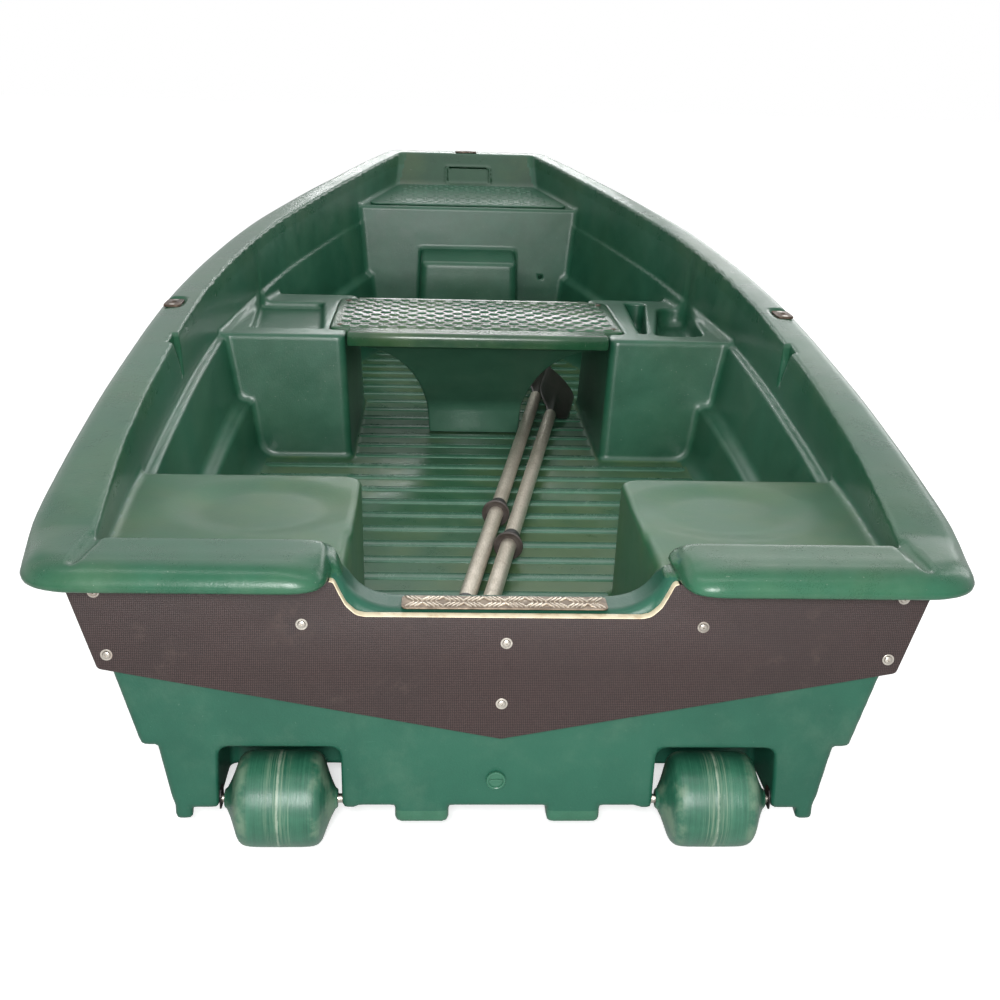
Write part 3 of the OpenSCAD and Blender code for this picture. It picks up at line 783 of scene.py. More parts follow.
def screw_head(bm, place, ahead, radius=.005, height=.0022, material=0, sides=20):
    """Domed head with a round recess, standing on its washer."""
    m = frame_of(place, ahead)
    r, h = radius, height
    lathe(bm, m, [(r * 1.5, -.0010), (r * 1.5, .0002), (r * 1.42, .0006), (r * 1.05, .0006)], sides, material)
    lathe(bm, m, [(r, 0), (r, h * .35), (r * .9, h * .72), (r * .62, h), (r * .28, h * 1.02),
                  (r * .22, h * .4), (0, h * .35)], sides, material)


def section_sweep(bm, sections, closed_section=True, caps=True, material=0):
    """Joins rows of points of equal length into one surface."""
    rows = [[bm.verts.new(p) for p in s] for s in sections]
    n = len(rows[0])
    for a, b in zip(rows, rows[1:]):
        for i in range(n if closed_section else n - 1):
            j = (i + 1) % n
            bm.faces.new((a[i], a[j], b[j], b[i])).material_index = material
    if caps:
        bm.faces.new(rows[0]).material_index = material
        bm.faces.new(rows[-1][::-1]).material_index = material
    return rows


def round_corners(points, radii, steps=4):
    """Replaces each corner of a closed outline with an arc of the given radius."""
    out = []
    n = len(points)
    for i in range(n):
        p, a, b = Vector(points[i]), Vector(points[i - 1]), Vector(points[(i + 1) % n])
        r = radii[i] if isinstance(radii, (list, tuple)) else radii
        da, db = (a - p), (b - p)
        reach = min(r / max(math.tan(da.angle(db) / 2), .05), da.length * .48, db.length * .48)
        pa, pb = p + da.normalized() * reach, p + db.normalized() * reach
        for k in range(steps + 1):
            t = k / steps
            out.append(pa.lerp(p, t).lerp(p.lerp(pb, t), t))
    return out


def slab(bm, outline, make, thickness, bevel, material=0, edge_material=None, steps=3):
    """Plate from a flat outline: make(u, v, w) gives the point, w from 0 to thickness."""
    flat = [Vector((p[0], p[1], 0)) for p in outline]
    n = len(flat)
    area = sum(flat[i].x * flat[(i + 1) % n].y - flat[(i + 1) % n].x * flat[i].y for i in range(n))
    turn = 1 if area > 0 else -1
    inset = []
    for i in range(n):
        a, b = (flat[i] - flat[i - 1]).normalized(), (flat[(i + 1) % n] - flat[i]).normalized()
        m = Vector((-(a.y + b.y), a.x + b.x, 0)) * turn
        m = m.normalized() / max((1 + a.dot(b)) / 2, .25)**.5 if m.length > 1e-6 else Vector((0, 0, 0))
        inset.append(m)
    rings = []
    for k in range(steps + 1):
        t = math.pi / 2 * k / steps
        rings.append((bevel * (1 - math.sin(t)), bevel * (1 - math.cos(t))))
    profile = [(i, w) for i, w in rings] + [(i, thickness - w) for i, w in reversed(rings)]
    profile = profile if bevel > 0 else [(0, 0), (0, thickness)]
    rows = [[bm.verts.new(make(p.x + m.x * i, p.y + m.y * i, w)) for p, m in zip(flat, inset)]
            for i, w in profile]
    for a, b in zip(rows, rows[1:]):
        for i in range(n):
            j = (i + 1) % n
            face = bm.faces.new((a[i], a[j], b[j], b[i]))
            face.material_index = material if edge_material is None else edge_material
    for row in (rows[0], rows[-1]):
        bm.faces.new(row).material_index = material


# ---------------------------------------------------------------- the moulding, region by region
REGION_FIELDS = [rim, outer_body, cockpit, stern_seat, pedestal, bow_locker, locker_step, tray, seat_rebate,
                 notch, wheel_housing, rim_pocket, name_frame]


def region_of(p):
    """Name of the solid node that each point of the moulding's skin belongs to."""
    x, y, z = p[:, 0], p[:, 1], p[:, 2]
    near = np.argmin(np.abs(np.stack([f(x, y, z) for f in REGION_FIELDS])), axis=0)
    side = np.where(x < 0, "port", "starboard")
    length_part = np.where(y < place_at(.4), "side_aft_",
                           np.where(y < place_at(.6432), "side_mid_", "side_fore_"))
    ax = np.abs(x)
    name = np.char.add(length_part, side).astype("U32")
    name[(y < aft(.120)) & (z > rocker(y) - .003)] = "transom"
    is_rim = (near == 0) | ((z > sheer(y) - RIM_DEPTH * .98) & (ax > rim_inside(y) - .004))
    is_rim |= (near == 9) & (z > STERN_Z - RIM_DEPTH)
    name[is_rim] = np.char.add(np.where(y < place_at(.5622), "gunwale_aft_", "gunwale_fore_"),
                               side)[is_rim]
    across = is_rim & (y < aft(.15)) & (ax < .664)
    name[across] = np.char.add("stern_rim_", side)[across]
    name[is_rim & (y > 1.74) & (ax < .245)] = "bow_rim"
    out = (near == 1) & ~is_rim
    name[out & (z < PAN_Z) & (y < 1.5)] = "hull_bottom"
    name[out & (z < PAN_Z) & (y < aft(.165))] = "stern_bottom"
    low = z < rocker(y) - .003
    strip = out & low & (ax < .20)
    name[strip] = np.char.add("keel_strip_", side)[strip]
    fin = out & low & (ax > .25) & (y > aft(.165)) & (y < 1.2)
    name[fin] = np.char.add("chine_rail_", side)[fin]
    name[out & (y < aft(.095)) & ~low] = "transom"
    name[out & (y > 1.25) & (ax < rim_inside(y) - .02) & (z > .235)] = "bow_locker"
    cav = near == 2
    name[cav & (y < aft(.17)) & (z > .26) & (z < .49)] = "transom"
    name[cav & (z < FLOOR_Z + .001)] = "floor_ribs"
    name[cav & (y > BOW_PANEL_Y - .02) & (ax < rim_inside(y) - .006)] = "bow_panel"
    name[near == 12] = "bow_panel"
    for code, word in ((3, "stern_seat_"), (4, "pedestal_"), (7, "pedestal_"), (8, "pedestal_")):
        hit = (near == code) & (y > aft(.090))
        name[hit] = np.char.add(word, side)[hit]
    name[(near == 5) & ~is_rim] = "bow_locker"
    name[near == 6] = "locker_step"
    name[(near == 9) & (z < STERN_Z - RIM_DEPTH)] = "transom"
    name[near == 10] = "stern_bottom"
    name[(near == 10) & (y < aft(.095))] = "transom"
    return name


# The bow panel takes a darker copy of the hull green as painted shade.
# The transom and stern bottom take a darker copy of the hull green as painted shade.
FINISH_OF = {"transom": TRANSOM_SHADED_GREEN, "stern_bottom": TRANSOM_SHADED_GREEN, "floor_ribs": SOLE_GREEN,
             "gunwale": RIM_GREEN, "stern_rim": RIM_GREEN, "bow_rim": RIM_GREEN, "stern_seat": SEAT_GREEN,
             "bow_panel": BOW_SHADED_GREEN}


MOULD_LOW = (-.835, -1.885, -.03)
MOULD_SIZE = (1.67, 3.77, 1.0)
FINE_STEP = (.0075, .0110, .0075)
MOST_SHIFT = .003


def mould_hull(step):
    shape = tuple(int(math.ceil(s / d)) for s, d in zip(MOULD_SIZE, step))
    points, faces = skin(moulding, MOULD_LOW, step, shape)
    for _ in range(2):
        normal, steep = slope_at(points, moulding, .0010)
        off = moulding(points[:, 0], points[:, 1], points[:, 2]) / np.maximum(steep, .3)
        points = points - normal * np.clip(off, -MOST_SHIFT, MOST_SHIFT)[:, None]
    normal, _ = slope_at(points, moulding, .0010)
    names = region_of(points[faces].mean(1))
    for region in sorted(set(names)):
        chosen = faces[names == region]
        used, local = np.unique(chosen, return_inverse=True)
        local = local.reshape(chosen.shape)
        finish = next((m for k, m in FINISH_OF.items() if region.startswith(k)), HULL_GREEN)
        own = region == "floor_ribs"
        obj = new_piece(region + "_skin", points[used], local, finish,
                        nodes=() if own else (region,))
        # Blender drops a face with a repeated corner, and then its normals no longer line up.
        if len(obj.data.vertices) == len(used):
            soft = normal[used]
            obj.data.normals_split_custom_set_from_vertices([tuple(n) for n in soft])
        else:
            print("vertices dropped in", region)


SOLE_PITCH = .1009


def floor_bars():
    """Raised cross bars of the sole, with rolled edges."""
    bm = bmesh.new()
    first = aft(.095) + .0004
    for i in range(int((LOCKER_Y - first - .060) / SOLE_PITCH)):
        y = first + .010 + SOLE_PITCH * i + .066
        runs = [(-lower_wall(y, FLOOR_Z) + .012, lower_wall(y, FLOOR_Z) - .012)]
        blocks = [(aft(-.1), aft(.600), .262), (PED_AFT - .03, PED_FORE + .03, .344),
                  (LOCKER_Y - .235, LOCKER_Y + .1, .185)]
        for lo, hi, edge in blocks:
            if lo < y < hi:
                x0, x1 = runs[0]
                runs = [(x0, -edge - .012), (edge + .012, x1)] if edge < .2 else [(-edge + .008, edge - .008)]
        for x0, x1 in runs:
            profile = [(-.0195, -.0065), (-.0185, -.0030), (-.0160, -.0004), (-.0120, .0008), (0, .0011),
                       (.0120, .0008), (.0160, -.0004), (.0185, -.0030), (.0195, -.0065)]
            ends = [(x0, .55, -.006), (x0 + .003, .85, -.002), (x0 + .010, 1, 0), ((x0 + x1) / 2, 1, .0008),
                    (x1 - .010, 1, 0), (x1 - .003, .85, -.002), (x1, .55, -.006)]
            section_sweep(bm, [[(x, y + py * k, FLOOR_Z - .0010 + pz + dz) for py, pz in profile]
                               for x, k, dz in ends])
    from_bmesh("sole_bars", bm, RIB_SHEEN_GREEN, ("floor_ribs",))


# ---------------------------------------------------------------- thwart
def stud_field(bm, rows, columns, centre, pitch, size, height, lean=0.0, material=0):
    """Diamond studs with flattened tops, alternate rows offset by half a pitch."""
    cx, cy, cz = centre
    for r in range(rows):
        y = cy + (r - (rows - 1) / 2) * pitch[1]
        shift = pitch[0] / 2 if r % 2 else 0
        for c in range(columns - (r % 2)):
            x = cx + (c - (columns - 1) / 2) * pitch[0] + shift
            rings = []
            for k, h in ((1.0, -.0008), (.86, height * .55), (.62, height * .93), (.38, height)):
                ring = []
                for i in range(12):
                    a = 2 * math.pi * i / 12
                    q = 1 / (abs(math.cos(a))**1.25 + abs(math.sin(a))**1.25)**(1 / 1.25)
                    px, py = q * math.cos(a) * size[0] * k, q * math.sin(a) * size[1] * k
                    ring.append(bm.verts.new((x + px, y + py, cz + h + lean * (y + py - cy))))
                rings.append(ring)
            for a, b in zip(rings, rings[1:]):
                for i in range(12):
                    j = (i + 1) % 12
                    bm.faces.new((a[i], a[j], b[j], b[i])).material_index = material
            bm.faces.new(rings[-1]).material_index = material


def build_thwart():
    top = PLANK_Z
    y0, y1 = PLANK_AFT, PLANK_FORE
    bm = bmesh.new()
    ring = [(y0 + .004, -.034), (y0 + .0008, -.0325), (y0, -.028), (y0, -.010), (y0 + .0008, -.004),
            (y0 + .004, .0004), (y0 + .010, .0028), (y0 + .018, .0034), (y0 + .025, .0022),
            (y0 + .030, -.0004), (y0 + .040, -.0010), ((y0 + y1) / 2, .0002), (y1 - .034, -.0010),
            (y1 - .026, .0004), (y1 - .016, .0022), (y1 - .008, .0014), (y1 - .002, -.002), (y1, -.007),
            (y1, -.028), (y1 - .001, -.033), (y1 - .004, -.034), (y1 - .026, -.034), (y1 - .030, -.030),
            ((y0 + y1) / 2, -.030), (y0 + .030, -.030), (y0 + .026, -.034)]
    half_x = .3515
    spans = [-half_x, -half_x + .0015, -half_x + .005, -.2, 0, .2, half_x - .005, half_x - .0015, half_x]
    sections = []
    for x in spans:
        pinch = .0035 * (1 - min(1, (half_x - abs(x)) / .005))**2
        sections.append([(x, y + (pinch if y < (y0 + y1) / 2 else -pinch),
                          top + z - (pinch if z > -.01 else -pinch)) for y, z in ring])
    section_sweep(bm, sections)
    ear_aft, ear_fore = PED_AFT + .0845, PLANK_FORE - .0205
    outline = round_corners([(-.4035, ear_aft), (.4035, ear_aft), (.4035, ear_fore), (-.4035, ear_fore)],
                            .022, 5)
    slab(bm, outline, lambda u, v, w: (u, v, top - .030 + w), .0296, .0030)
    from_bmesh("thwart_plank", bm, PLANK_GREEN, ("thwart",))

    bm = bmesh.new()
    ear_aft, ear_fore = PED_AFT + .0885, PLANK_FORE - .0245
    outline = round_corners([(-.3995, ear_aft), (.3995, ear_aft), (.3995, ear_fore), (-.3995, ear_fore)],
                            .020, 5)
    slab(bm, outline, lambda u, v, w: (u, v, top - .0024 + w), .0030, .0012)
    rows = 13
    pitch = (ear_fore - ear_aft - .030) / (rows - 1)
    stud_field(bm, rows, 15, (0, (ear_aft + ear_fore) / 2, top + .0004), (.0520, pitch), (.0165, .0140),
               .0042)
    for x, y in ((-.378, ear_aft + .034), (.378, ear_aft + .034), (-.378, ear_fore - .034),
                 (.378, ear_fore - .034)):
        screw_head(bm, (x, y, top + .0010), (0, 0, 1), .0060, .0022, 1)
    from_bmesh("thwart_non_slip", bm, [PLANK_GREEN, RUSTY], ("thwart_tread",),
               sharp=.8)

    # The leg is as deep as the plank at its top and narrow where it meets the sole.
    low, high = FLOOR_Z + .0004, top - .0304
    flare = OAR_Z + .0525
    mid = (y0 + y1) / 2
    keys = smooth_curve([(0, .1297), (.03, .1310), (.20, .1350), (.36, .1445), (.585, .168), (.785, .210),
                         (.93, .2755), (.985, .336), (1, .3362)])
    levels = list(np.linspace(0, .8, 13)) + [.84, .88, .91, .94, .96, .975, .985, .993, 1]
    sections = []
    for t in levels:
        w = float(keys(t))
        z = low + (high - low) * t
        spread = max(0, (z - flare) / (high - flare))
        a = mid - .018 + (y0 + .032 - mid + .018) * spread
        b = mid + .018 + (y1 - .032 - mid - .018) * spread
        k = min(.006, (b - a) * .3)
        ring = [(-w + k, a), (w - k, a), (w - k * .3, a + k * .3), (w, a + k), (w, b - k),
                (w - k * .3, b - k * .3), (w - k, b), (-w + k, b), (-w + k * .3, b - k * .3), (-w, b - k),
                (-w, a + k), (-w + k * .3, a + k * .3)]
        sections.append([(x, y, z) for x, y in ring])
    bm = bmesh.new()
    section_sweep(bm, sections)
    from_bmesh("thwart_leg_web", bm, LEG_LIT_GREEN, ("thwart_leg",), sharp=.9)


def build_locker_deck():
    bm = bmesh.new()
    y0, y1 = LOCKER_Y + .034, BOW_PANEL_Y - .012
    za_, zb_ = deck(y0), deck(y1)
    xa, xb = .96 * float(rim_inside(y0)), .95 * float(rim_inside(y1))

    def lay(u, v, w):
        return (u, v, za_ + (zb_ - za_) * (v - y0) / (y1 - y0) + .0004 + w)
    outline = round_corners([(-xa, y0), (xa, y0), (xb, y1), (-xb, y1)], .03, 5)
    slab(bm, outline, lay, .0072, .004)
    lean = (zb_ - za_) / (y1 - y0)
    for r in range(15):
        y = y0 + .022 + r * (y1 - y0 - .044) / 14
        reach = xa + (xb - xa) * (y - y0) / (y1 - y0) - .025
        n = int(2 * reach / .040)
        stud_field(bm, 1, n if r % 2 else n - 1, (0, y, za_ + lean * (y - y0) + .0074), (.040, 1),
                   (.0115, .0095), .0022, lean)
    from_bmesh("locker_non_slip", bm, HULL_GREEN, ("locker_deck",), sharp=.8)


# ---------------------------------------------------------------- motor pad and tread strip
PAD_SCREWS = [(-.653, .478), (.653, .478), (-.639, .369), (.639, .369), (-.326, .425), (.326, .425),
              (.005, .394), (0, .285)]


def build_pad():
    zt = STERN_Z - RIM_DEPTH - .0004
    nh = .205
    right = [(0, .220), (.655, .344), (.703, zt), (nh + .070, zt), (nh + .060, zt - .022),
             (nh + .050, NOTCH_Z + .010), (nh + .034, NOTCH_Z - .005), (nh + .020, NOTCH_Z - .008)]
    outline = right + [(-x, z) for x, z in reversed(right[1:])]
    radii = [.012, .010, .006, .010, .05, .03, .02, .03] + [.03, .02, .03, .05, .010, .006, .010]
    outline = [(p.x, p.y) for p in round_corners([(x, z, 0) for x, z in outline], radii, 4)]
    bm = bmesh.new()
    slab(bm, outline, lambda u, v, w: (u, aft(-.007) + w, v), .018, .0010, 0, 1)
    for x, z in PAD_SCREWS:
        screw_head(bm, (x, aft(-.0070), z), (0, -1, 0), .0066, .0032, 2, 24)
    # Only the cut edge round the notch is sealed with pale varnish.
    for face in bm.faces:
        middle = face.calc_center_median()
        if face.material_index == 1 and (middle.z < NOTCH_Z - .012 or abs(middle.x) > .30):
            face.material_index = 0
    from_bmesh("transom_board", bm, [BOARD_FACE, BOARD_EDGE, STEEL], ("transom_pad",),
               sharp=.5)


def build_tread():
    bm = bmesh.new()
    y0, y1 = aft(.013), aft(.066)
    z = NOTCH_Z
    outline = round_corners([(-.167, y0), (.172, y0), (.172, y1), (-.167, y1)], .010, 5)
    slab(bm, outline, lambda u, v, w: (u, v, z - .0038 + w), .0030, .0010)
    # Two rows of short raised bars, in groups of four that lean to one side and then the other.
    for row in range(2):
        for g in range(10):
            lean = math.radians(38 if (g + row) % 2 else -38)
            for b in range(4):
                cx = -.150 + g * .0340 + (b - 1.5) * .0076
                cy = y0 + .0142 + row * .0246
                if not -.161 < cx < .166:
                    continue
                c, s = math.cos(lean), math.sin(lean)
                rings = []
                for k, h in ((1, -.0010), (.85, .0003), (.5, .0010)):
                    ring = []
                    for i in range(12):
                        a = 2 * math.pi * i / 12
                        px, py = .0021 * k * math.cos(a), .0122 * (k * .25 + .75) * math.sin(a)
                        ring.append(bm.verts.new((cx + px * c - py * s, cy + px * s + py * c, z + h)))
                    rings.append(ring)
                for a, b2 in zip(rings, rings[1:]):
                    for i in range(12):
                        bm.faces.new((a[i], a[(i + 1) % 12], b2[(i + 1) % 12], b2[i])).material_index = 1
                bm.faces.new(rings[-1]).material_index = 1
    from_bmesh("notch_tread", bm, [TREAD_BASE, TREAD_METAL], ("tread_strip",),
               sharp=.5)


# ---------------------------------------------------------------- wheels
WHEEL_BOSSES = 4


def build_wheel(side, sign):
    centre = (sign * WHEEL_X, AXLE_Y, AXLE_Z)
    m = frame_of(centre, (1, 0, 0))
    w = .089
    bore = .00805
    side_profile = [(.0092, w + .007), (.0150, w + .007), (.0162, w + .0060), (.0185, w + .0030),
                    (.0240, w + .0002), (.0330, w - .0042), (.0450, w - .0090), (.0560, w - .0130),
                    (.0640, w - .0158), (.0690, w - .0180), (.0730, w - .0205), (.0765, w - .0240),
                    (.0788, w - .0280), (.0802, w - .0325), (.0811, w - .0390), (.0817, w - .0500),
                    (.0819, .0100), (.0819, .0034), (.0821, .0024), (.0821, .0004)]
    mirrored = [(r, -h) for r, h in reversed(side_profile)]
    profile = [(bore, w + .0066)] + side_profile + mirrored + [(bore, -w - .0066)]
    profile.append(profile[0])
    bm = bmesh.new()
    lathe(bm, m, profile, 96)
    bmesh.ops.remove_doubles(bm, verts=bm.verts, dist=1e-6)
    # Moulded bosses on each cone.
    for end in (-1, 1):
        for i in range(WHEEL_BOSSES):
            a = math.radians(45 + 360 / WHEEL_BOSSES * i)
            p = (centre[0] + end * (w - .0125), centre[1] + .0460 * math.cos(a),
                 centre[2] + .0460 * math.sin(a))
            lathe(bm, frame_of(p, (end, .35 * math.cos(a), .35 * math.sin(a))),
                  [(.0062, -.003), (.0060, .0006), (.0052, .0014), (.0030, .0014), (.0022, .0006),
                   (0, .0004)], 16)
    from_bmesh("wheel_barrel_" + side, bm, WHEEL_GREEN, ("wheel_" + side,),
               body=side + "_wheel", sharp=.9)


def build_axle(side, sign):
    bm = bmesh.new()
    a, b = .244, .516
    m = frame_of((0, AXLE_Y, AXLE_Z), (sign, 0, 0))
    lathe(bm, m, [(0, a), (.0066, a), (.0078, a + .0014), (.0079, a + .004), (.0079, b - .004),
                  (.0078, b - .0014), (.0066, b), (0, b)], 32)
    for x in (a + .005, b - .012):
        lathe(bm, m, [(.0079, x), (.0130, x), (.0136, x + .0005), (.0136, x + .0018), (.0130, x + .0023),
                      (.0079, x + .0023)], 32)
    # Split pin through the inboard end.
    pin = [(math.cos(t) * .0115, math.sin(t) * .0115) for t in np.linspace(-.6, 3.7, 14)]
    tube = []
    for u, v in pin:
        ring = []
        for k in range(8):
            q = 2 * math.pi * k / 8
            rr = 1 + .0011 * math.cos(q) / .0115
            ring.append(m @ Vector((u * rr, v * rr, a + .0035 + .0011 * math.sin(q))))
        tube.append(ring)
    section_sweep(bm, tube)
    from_bmesh("axle_rod_" + side, bm, STEEL, ("axle_" + side,), sharp=.5)

    # Plate under the outer end of the rod.
    bm = bmesh.new()
    y, z = AXLE_Y, AXLE_Z
    outline = round_corners([(y - .017, z - .013), (y + .017, z - .013), (y + .017, z + .012),
                             (y + .009, z + .022), (y - .009, z + .022), (y - .017, z + .012)], .005, 3)
    inner, outer = sorted((sign * .4705, sign * .4735))
    slab(bm, outline, lambda u, v, w: (inner + w * (outer - inner) / .003, u, v), .003, .0008)
    from_bmesh("axle_plate_" + side, bm, BRACKET, sharp=.5)


def build_drain():
    def grooves(a, h):
        return .0005 * math.cos(a * 20) if -.0001 < h < .0050 else 0

    bm = bmesh.new()
    m = frame_of((-.005, aft(.0114), .133), (0, -1, 0))
    lathe(bm, m, [(0, -.040), (.0105, -.040), (.0116, -.037), (.0116, 0), (.0160, 0), (.0165, .0008),
                  (.0165, .0044), (.0158, .0056), (.0140, .0060), (.0128, .0054), (.0122, .0030),
                  (.0040, .0026), (0, .0030)], 40, wobble=grooves)
    bar = round_corners([(-.0105, -.0021), (.0105, -.0021), (.0105, .0021), (-.0105, .0021)], .0019, 4)
    slab(bm, bar, lambda u, v, w: m @ Vector((u, v, .0020 + w)), .0036, .0008)
    from_bmesh("drain_plug_cap", bm, HULL_GREEN, ("drain_plug",), sharp=.5)


# ---------------------------------------------------------------- oarlock plates and bow socket
def build_socket(name, node, place, along, tube, finish):
    """Oblong plate with a pin tube and two screws."""
    bm = bmesh.new()
    x, y, z = place
    long, wide = .042, .021
    outline = []
    for i in range(48):
        a = 2 * math.pi * (i + .5) / 48
        c, s = math.cos(a), math.sin(a)
        q = 1 / (abs(c)**6 + abs(s)**6)**(1 / 6)
        outline.append((q * c * wide, q * s * long))
    hole = [(.0072 * math.cos(2 * math.pi * (i + .5) / 48), .0072 * math.sin(2 * math.pi * (i + .5) / 48))
            for i in range(48)]

    def put(u, v, w):
        return (x + u, y + v, z + w) if along == "y" else (x - v, y + u, z + w)
    levels = [(outline, 1, -.0049), (outline, 1, -.0010), (outline, .985, -.0002), (outline, .955, .0001),
              ([(u * 1.9, v * 1.9) for u, v in hole], 1, .0001),
              ([(u * 1.45, v * 1.45) for u, v in hole], 1, .0012), (hole, 1, .0012), (hole, .905, 0),
              (hole, .903, -tube)]
    rows = [[bm.verts.new(put(u * k, v * k, h)) for u, v in ring] for ring, k, h in levels]
    low = [[bm.verts.new(put(u * k, v * k, h)) for u, v in ring] for ring, k, h in
           ((hole, 1.666, -tube), (hole, 1.666, -.0049))]
    loop = rows + low + [rows[0]]
    for a, b in zip(loop, loop[1:]):
        for i in range(48):
            j = (i + 1) % 48
            bm.faces.new((a[i], a[j], b[j], b[i]))
    for s in (-1, 1):
        p = put(0, s * .0305, -.0002)
        screw_head(bm, p, (0, 0, 1), .0046, .0010, 1, 24)
    from_bmesh(name, bm, [finish, STEEL], (node,), sharp=.5)


# ---------------------------------------------------------------- oars
def build_oar(side, at, angle, lift):
    body_frame = (Matrix.Translation(at) @ Matrix.Rotation(math.radians(-angle), 4, "Z")
                  @ Matrix.Rotation(math.radians(lift), 4, "X") @ Matrix.Rotation(math.radians(-90), 4, "X"))
    r = .0175
    bm = bmesh.new()
    lathe(bm, body_frame, [(0, 0), (r - .002, 0), (r - .0004, .0010), (r, .003), (r, .6), (r, 1.2),
                           (r, 1.754), (r - .001, 1.7585), (r - .003, 1.76), (0, 1.76)], 40)
    from_bmesh("oar_tube_" + side, bm, TUBE_METAL, (f"oar_{side}_shaft",), sharp=.5)

    bm = bmesh.new()
    grip = [(r + .00005, .003), (r + .0018, .003), (r + .0025, .0045)]
    for i in range(10):
        h = .012 + .0090 * i
        grip += [(r + .0025, h), (r + .0025, h + .0052), (r + .0012, h + .0064), (r + .0012, h + .0076)]
    grip += [(r + .0025, .1075), (r + .0015, .111), (r + .00005, .112)]
    lathe(bm, body_frame, grip + [grip[0]], 36)
    from_bmesh("oar_grip_ribbed_" + side, bm, BLACK, (f"oar_{side}_grip",), sharp=.5)

    bm = bmesh.new()
    c = .640
    lathe(bm, body_frame, [(r + .00005, c + .0040), (r + .0070, c + .0034), (r + .0105, c + .0008),
                           (r + .0130, c), (r + .0146, c + .0006), (r + .0150, c + .0018),
                           (r + .0150, c + .0060), (r + .0138, c + .0078), (r + .0090, c + .0092),
                           (r + .0082, c + .0110), (r + .0078, c + .0150), (r + .0050, c + .0160),
                           (r + .0036, c + .0180)], 40, 0)
    lathe(bm, body_frame, [(r + .0036, c + .0180), (r + .0030, c + .020), (r + .0030, c + .036),
                           (r + .0022, c + .037), (r + .0022, c + .039), (r + .0030, c + .040),
                           (r + .0030, c + .059), (r + .0022, c + .0616), (r + .00005, c + .062)], 40, 1)
    bmesh.ops.remove_doubles(bm, verts=bm.verts, dist=1e-6)
    from_bmesh("oar_stop_" + side, bm, [COLLAR, BLACK], (f"oar_{side}_collar",),
               sharp=.6)

    bm = bmesh.new()
    spin = body_frame @ Matrix.Translation((0, 0, 1.7602)) @ Matrix.Rotation(math.radians(45), 4, "Z")
    edge = smooth_curve([(0, .0140), (.03, .0200), (.06, .0380), (.10, .054), (.15, .0640), (.22, .0650),
                         (.40, .0650), (.425, .0600), (.442, .0440), (.4495, .0260), (.450, .0005)])
    stations = list(np.linspace(0, .40, 22)) + [.412, .425, .434, .442, .4465, .4492]
    across = np.array([-1, -.975, -.9, -.7, -.45, -.25, -.14, -.07, 0, .07, .14, .25, .45, .7, .9, .975, 1])
    sections = []
    for s in stations:
        e = float(edge(s))
        spine = .0075 * max(0, 1 - s / .23)**.8 + .0016 * max(0, 1 - s / .42)
        upper, lower = [], []
        for t in across:
            u = t * e
            body = .0035 - .0016 * abs(t)**3
            lip = -.0018 * max(0, (abs(t) - .93) / .07)
            hump = spine * math.exp(-(u / .0085)**2)
            side_rib = .0007 * math.exp(-((abs(t) - .80) / .05)**2) * min(1, s / .05)
            upper.append((u, body + lip + hump + side_rib))
            lower.append((u, -(body + lip + hump + side_rib)))
        ring = upper + lower[::-1][1:-1]
        sections.append([spin @ Vector((u, v, s)) for u, v in ring])
    section_sweep(bm, sections)
    from_bmesh("oar_spoon_" + side, bm, BLADE_BROWN, (f"oar_{side}_blade",), sharp=.6)


mould_hull(FINE_STEP)
floor_bars()
build_thwart()
build_locker_deck()
build_pad()
build_tread()
for side, sign in (("port", -1), ("starboard", 1)):
    build_wheel(side, sign)
    build_axle(side, sign)
    build_socket("oarlock_plate_" + side, "oarlock_socket_" + side, (sign * LOCK_X, LOCK_Y, LOCK_Z), "y",
                 .038, RUSTY)
build_socket("bow_plate", "bow_socket", BOW_SOCKET, "x", .034, RUSTY)
build_drain()
for side, grip_end, angle in OARS:
    build_oar(side, grip_end, angle, OAR_LIFT)


# ---------------------------------------------------------------- camera, light, floor
CAMERA_PLACE = (-.118, -3.796, 1.308)
CAMERA_YAW, CAMERA_PITCH, CAMERA_ROLL = -3.14, 18.29, 1.69
CAMERA_LENS = 48.85
CAMERA_SHIFT = -.0033
WORLD_FILL = .50
FLOOR_GLOW = .60
FLOOR_REACH = 30


def set_camera():
    yaw, pitch, roll = map(math.radians, (CAMERA_YAW, CAMERA_PITCH, CAMERA_ROLL))
    ahead = Vector((-math.sin(yaw) * math.cos(pitch), math.cos(yaw) * math.cos(pitch), -math.sin(pitch)))
    right = Vector((math.cos(yaw), math.sin(yaw), 0))
    up = right.cross(ahead)
    r = math.cos(roll) * right + math.sin(roll) * up
    u = -math.sin(roll) * right + math.cos(roll) * up
    data = bpy.data.cameras.new("camera")
    data.sensor_width = 36
    data.lens = CAMERA_LENS
    data.shift_x = CAMERA_SHIFT
    data.clip_end = 60
    camera = bpy.data.objects.new("camera", data)
    bpy.context.scene.collection.objects.link(camera)
    rows = Matrix((r, u, -ahead)).transposed().to_4x4()
    camera.matrix_world = Matrix.Translation(CAMERA_PLACE) @ rows
    bpy.context.scene.camera = camera


# Name, place, target, size and power of each lamp.
LAMPS = (
    ("flash", (-.25, -4.3, 1.75), (0, -.4, .4), (.45, .35), 64),
    ("low_flash", (-.15, -4.4, 1.02), (0, 0, .5), (.7, .35), 46),
    ("overhead", (.2, 1.6, 3.8), (0, .3, .3), (3.0, 3.0), 22),
    ("stern_strip", (-.3, -2.3, 3.1), (-.1, -1.8, .5), (3.2, .22), 18),
    ("window", (3.3, 5.4, 2.05), (.3, 0, .7), (3.6, 1.3), 38),
    ("strip", (.1, 6.0, 2.35), (0, 0, .6), (2.4, .30), 28),
    ("edge_light", (3.4, .4, 2.5), (-.5, -.2, .6), (.4, 2.6), 22))


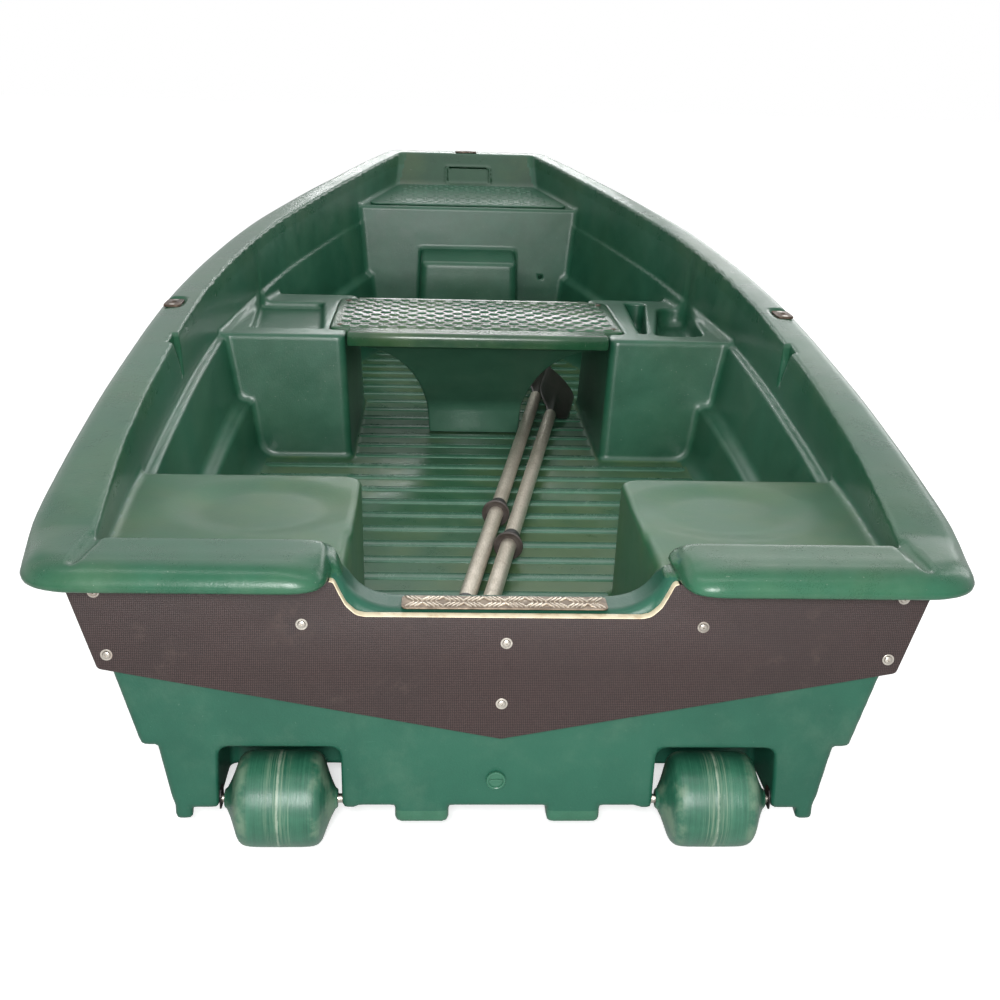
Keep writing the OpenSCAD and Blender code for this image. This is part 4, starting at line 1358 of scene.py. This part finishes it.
def area_light(name, place, target, size, power):
    data = bpy.data.lights.new(name, "AREA")
    data.shape = "RECTANGLE"
    data.size, data.size_y = size
    data.energy = power
    lamp = bpy.data.objects.new(name, data)
    bpy.context.scene.collection.objects.link(lamp)
    lamp.location = place
    lamp.rotation_euler = (Vector(target) - Vector(place)).to_track_quat("-Z", "Y").to_euler()


def white_for(tree):
    """1 where a ray comes straight from the camera or was mirrored or passed through glass."""
    paths = tree.nodes.new("ShaderNodeLightPath")
    total = paths.outputs["Is Camera Ray"]
    for other in ("Is Glossy Ray", "Is Transmission Ray"):
        both = tree.nodes.new("ShaderNodeMath")
        both.operation = "MAXIMUM"
        tree.links.new(total, both.inputs[0])
        tree.links.new(paths.outputs[other], both.inputs[1])
        total = both.outputs[0]
    return total


def set_light():
    world = bpy.data.worlds.new("studio")
    bpy.context.scene.world = world
    world.use_nodes = True
    tree = world.node_tree
    back = tree.nodes["Background"]
    level = tree.nodes.new("ShaderNodeMapRange")
    level.inputs["To Min"].default_value = WORLD_FILL
    level.inputs["To Max"].default_value = 1
    tree.links.new(white_for(tree), level.inputs["Value"])
    tree.links.new(level.outputs[0], back.inputs["Strength"])
    back.inputs["Color"].default_value = (1, 1, 1, 1)
    for lamp in LAMPS:
        area_light(*lamp)


def set_floor():
    mesh = bpy.data.meshes.new("studio_floor")
    r = FLOOR_REACH
    mesh.from_pydata([(-r, -r, 0), (r, -r, 0), (r, r, 0), (-r, r, 0)], [], [(0, 1, 2, 3)])
    floor = bpy.data.objects.new("studio_floor", mesh)
    bpy.context.scene.collection.objects.link(floor)
    floor.location = (0, 0, -.0006)
    f = Finish("studio_floor", Roughness=.9)
    f.shader.inputs["Base Color"].default_value = (.80, .80, .80, 1)
    mesh.materials.append(f.material)
    tree = f.tree
    glow = tree.nodes.new("ShaderNodeEmission")
    glow.inputs["Color"].default_value = (1, 1, 1, 1)
    glow.inputs["Strength"].default_value = FLOOR_GLOW
    add = tree.nodes.new("ShaderNodeAddShader")
    mix = tree.nodes.new("ShaderNodeMixShader")
    tree.links.new(f.shader.outputs[0], add.inputs[0])
    tree.links.new(glow.outputs[0], add.inputs[1])
    paths = tree.nodes.new("ShaderNodeLightPath")
    tree.links.new(paths.outputs["Is Camera Ray"], mix.inputs[0])
    tree.links.new(f.shader.outputs[0], mix.inputs[1])
    tree.links.new(add.outputs[0], mix.inputs[2])
    tree.links.new(mix.outputs[0], tree.nodes["Material Output"].inputs["Surface"])


set_camera()
set_light()
set_floor()
bpy.context.scene.view_settings.view_transform = "Standard"
